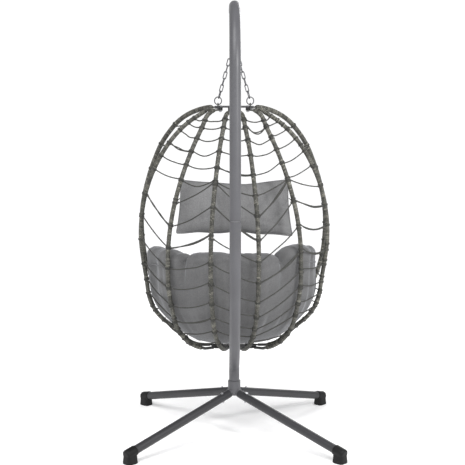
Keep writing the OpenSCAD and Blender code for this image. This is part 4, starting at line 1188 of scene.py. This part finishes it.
for side in (-1, 1):
    for i, h in enumerate((40,)):
        rib = RIBS["back"]
        s = rib.s_at(1034 + h)
        p, N, B = rib.line(np.array([s]), side)
        p = p[0] * 1000
        x = -side * -1 * (PW - 11)
        a = world(np.array([x, PIL[1] - 20 + h * 0.21, PIL[2] + h])) * 1000
        d = unit(p - a)
        seed += 1
        c = knot("back", side, s, -d, seed)
        parts = knots[("back", side)][-2:]
        body = [plait(sag_line(a, c, 4, 16, 1.5, seed), 2.0, 7)]
        # two short tails of the bow
        for q in (-1, 1):
            e = c + np.array([q * 9.0, -6.0, -17.0])
            mid = (c + e) / 2 + np.array([q * 5.0, -5.0, 4.0])
            tt = np.linspace(0, 1, 9)[:, None]
            body.append(plait((1 - tt) ** 2 * c + 2 * tt * (1 - tt) * mid + tt ** 2 * e, 1.8, 7))
        Vt, Ft, Tt = join_arrays(body)
        sd = "left" if side < 0 else "right"
        ob = make("tie_%s_%d" % (sd, i), Vt / 1000, Ft, M_ROPE, turn=Tt)
        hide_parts("pillow_ties")
        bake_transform(ob)
        Vk, Fk, Tk = join_arrays(parts)
        ob = make("tie_knot_%s_%d" % (sd, i), Vk / 1000, Fk, M_ROPE, turn=Tk)
        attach(ob, "back_" + sd)
        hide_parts("pillow_ties")

# ------------------------------------------------------------------ floor, light, world
floor_m = Graph("studio_floor")
floor_m.color(floor_m.ramp(floor_m.noise(1.5, 2.0), [(0.3, (0.935, 0.935, 0.935)), (0.7, (0.94, 0.94, 0.94))]))
floor_m.const(Roughness=0.9, Emission_Color=(1.0, 1.0, 1.0, 1.0), Emission_Strength=0.14)
floor = make("floor", [(-40, -40, 0), (40, -40, 0), (40, 40, 0), (-40, 40, 0)], [(0, 1, 2, 3)], floor_m.mat, smooth=False)

# a white studio: bright backdrop round the horizon, a dimmer ceiling
world_data = bpy.data.worlds.new("studio")
world_data.use_nodes = True
wt = world_data.node_tree
bg = wt.nodes["Background"]
tc = wt.nodes.new("ShaderNodeTexCoord")
sp = wt.nodes.new("ShaderNodeSeparateXYZ")
rm = wt.nodes.new("ShaderNodeValToRGB")
wt.links.new(tc.outputs["Generated"], sp.inputs["Vector"])
wt.links.new(sp.outputs["Z"], rm.inputs["Fac"])
wt.links.new(rm.outputs["Color"], bg.inputs["Color"])
rm.color_ramp.elements[0].position, rm.color_ramp.elements[0].color = 0.24, (1.04, 1.04, 1.04, 1)
rm.color_ramp.elements[1].position, rm.color_ramp.elements[1].color = 0.46, (0.30, 0.30, 0.31, 1)
bg.inputs["Strength"].default_value = 1.0
scene.world = world_data
scene.view_settings.view_transform = "Standard"


def aim(o, loc, target):
    o.location = loc
    o.rotation_euler = (Vector(target) - Vector(loc)).to_track_quat("-Z", "Y").to_euler()


def area(name, loc, target, size, power):
    d = bpy.data.lights.new(name, "AREA")
    d.shape, d.size, d.energy = "DISK", size, power
    o = bpy.data.objects.new(name, d)
    scene.collection.objects.link(o)
    aim(o, loc, target)


sun = bpy.data.lights.new("ceiling", "SUN")
sun.energy, sun.angle = 2.25, math.radians(40)
sun_o = bpy.data.objects.new("ceiling", sun)
scene.collection.objects.link(sun_o)
aim(sun_o, (-0.9, -2.2, 5.0), (0, 0, 0.9))
area("key", (2.7, -2.7, 3.2), (0, 0, 0.9), 1.0, 95)
area("front", (1.4, 4.2, 2.6), (0, 0, 0.9), 1.6, 45)
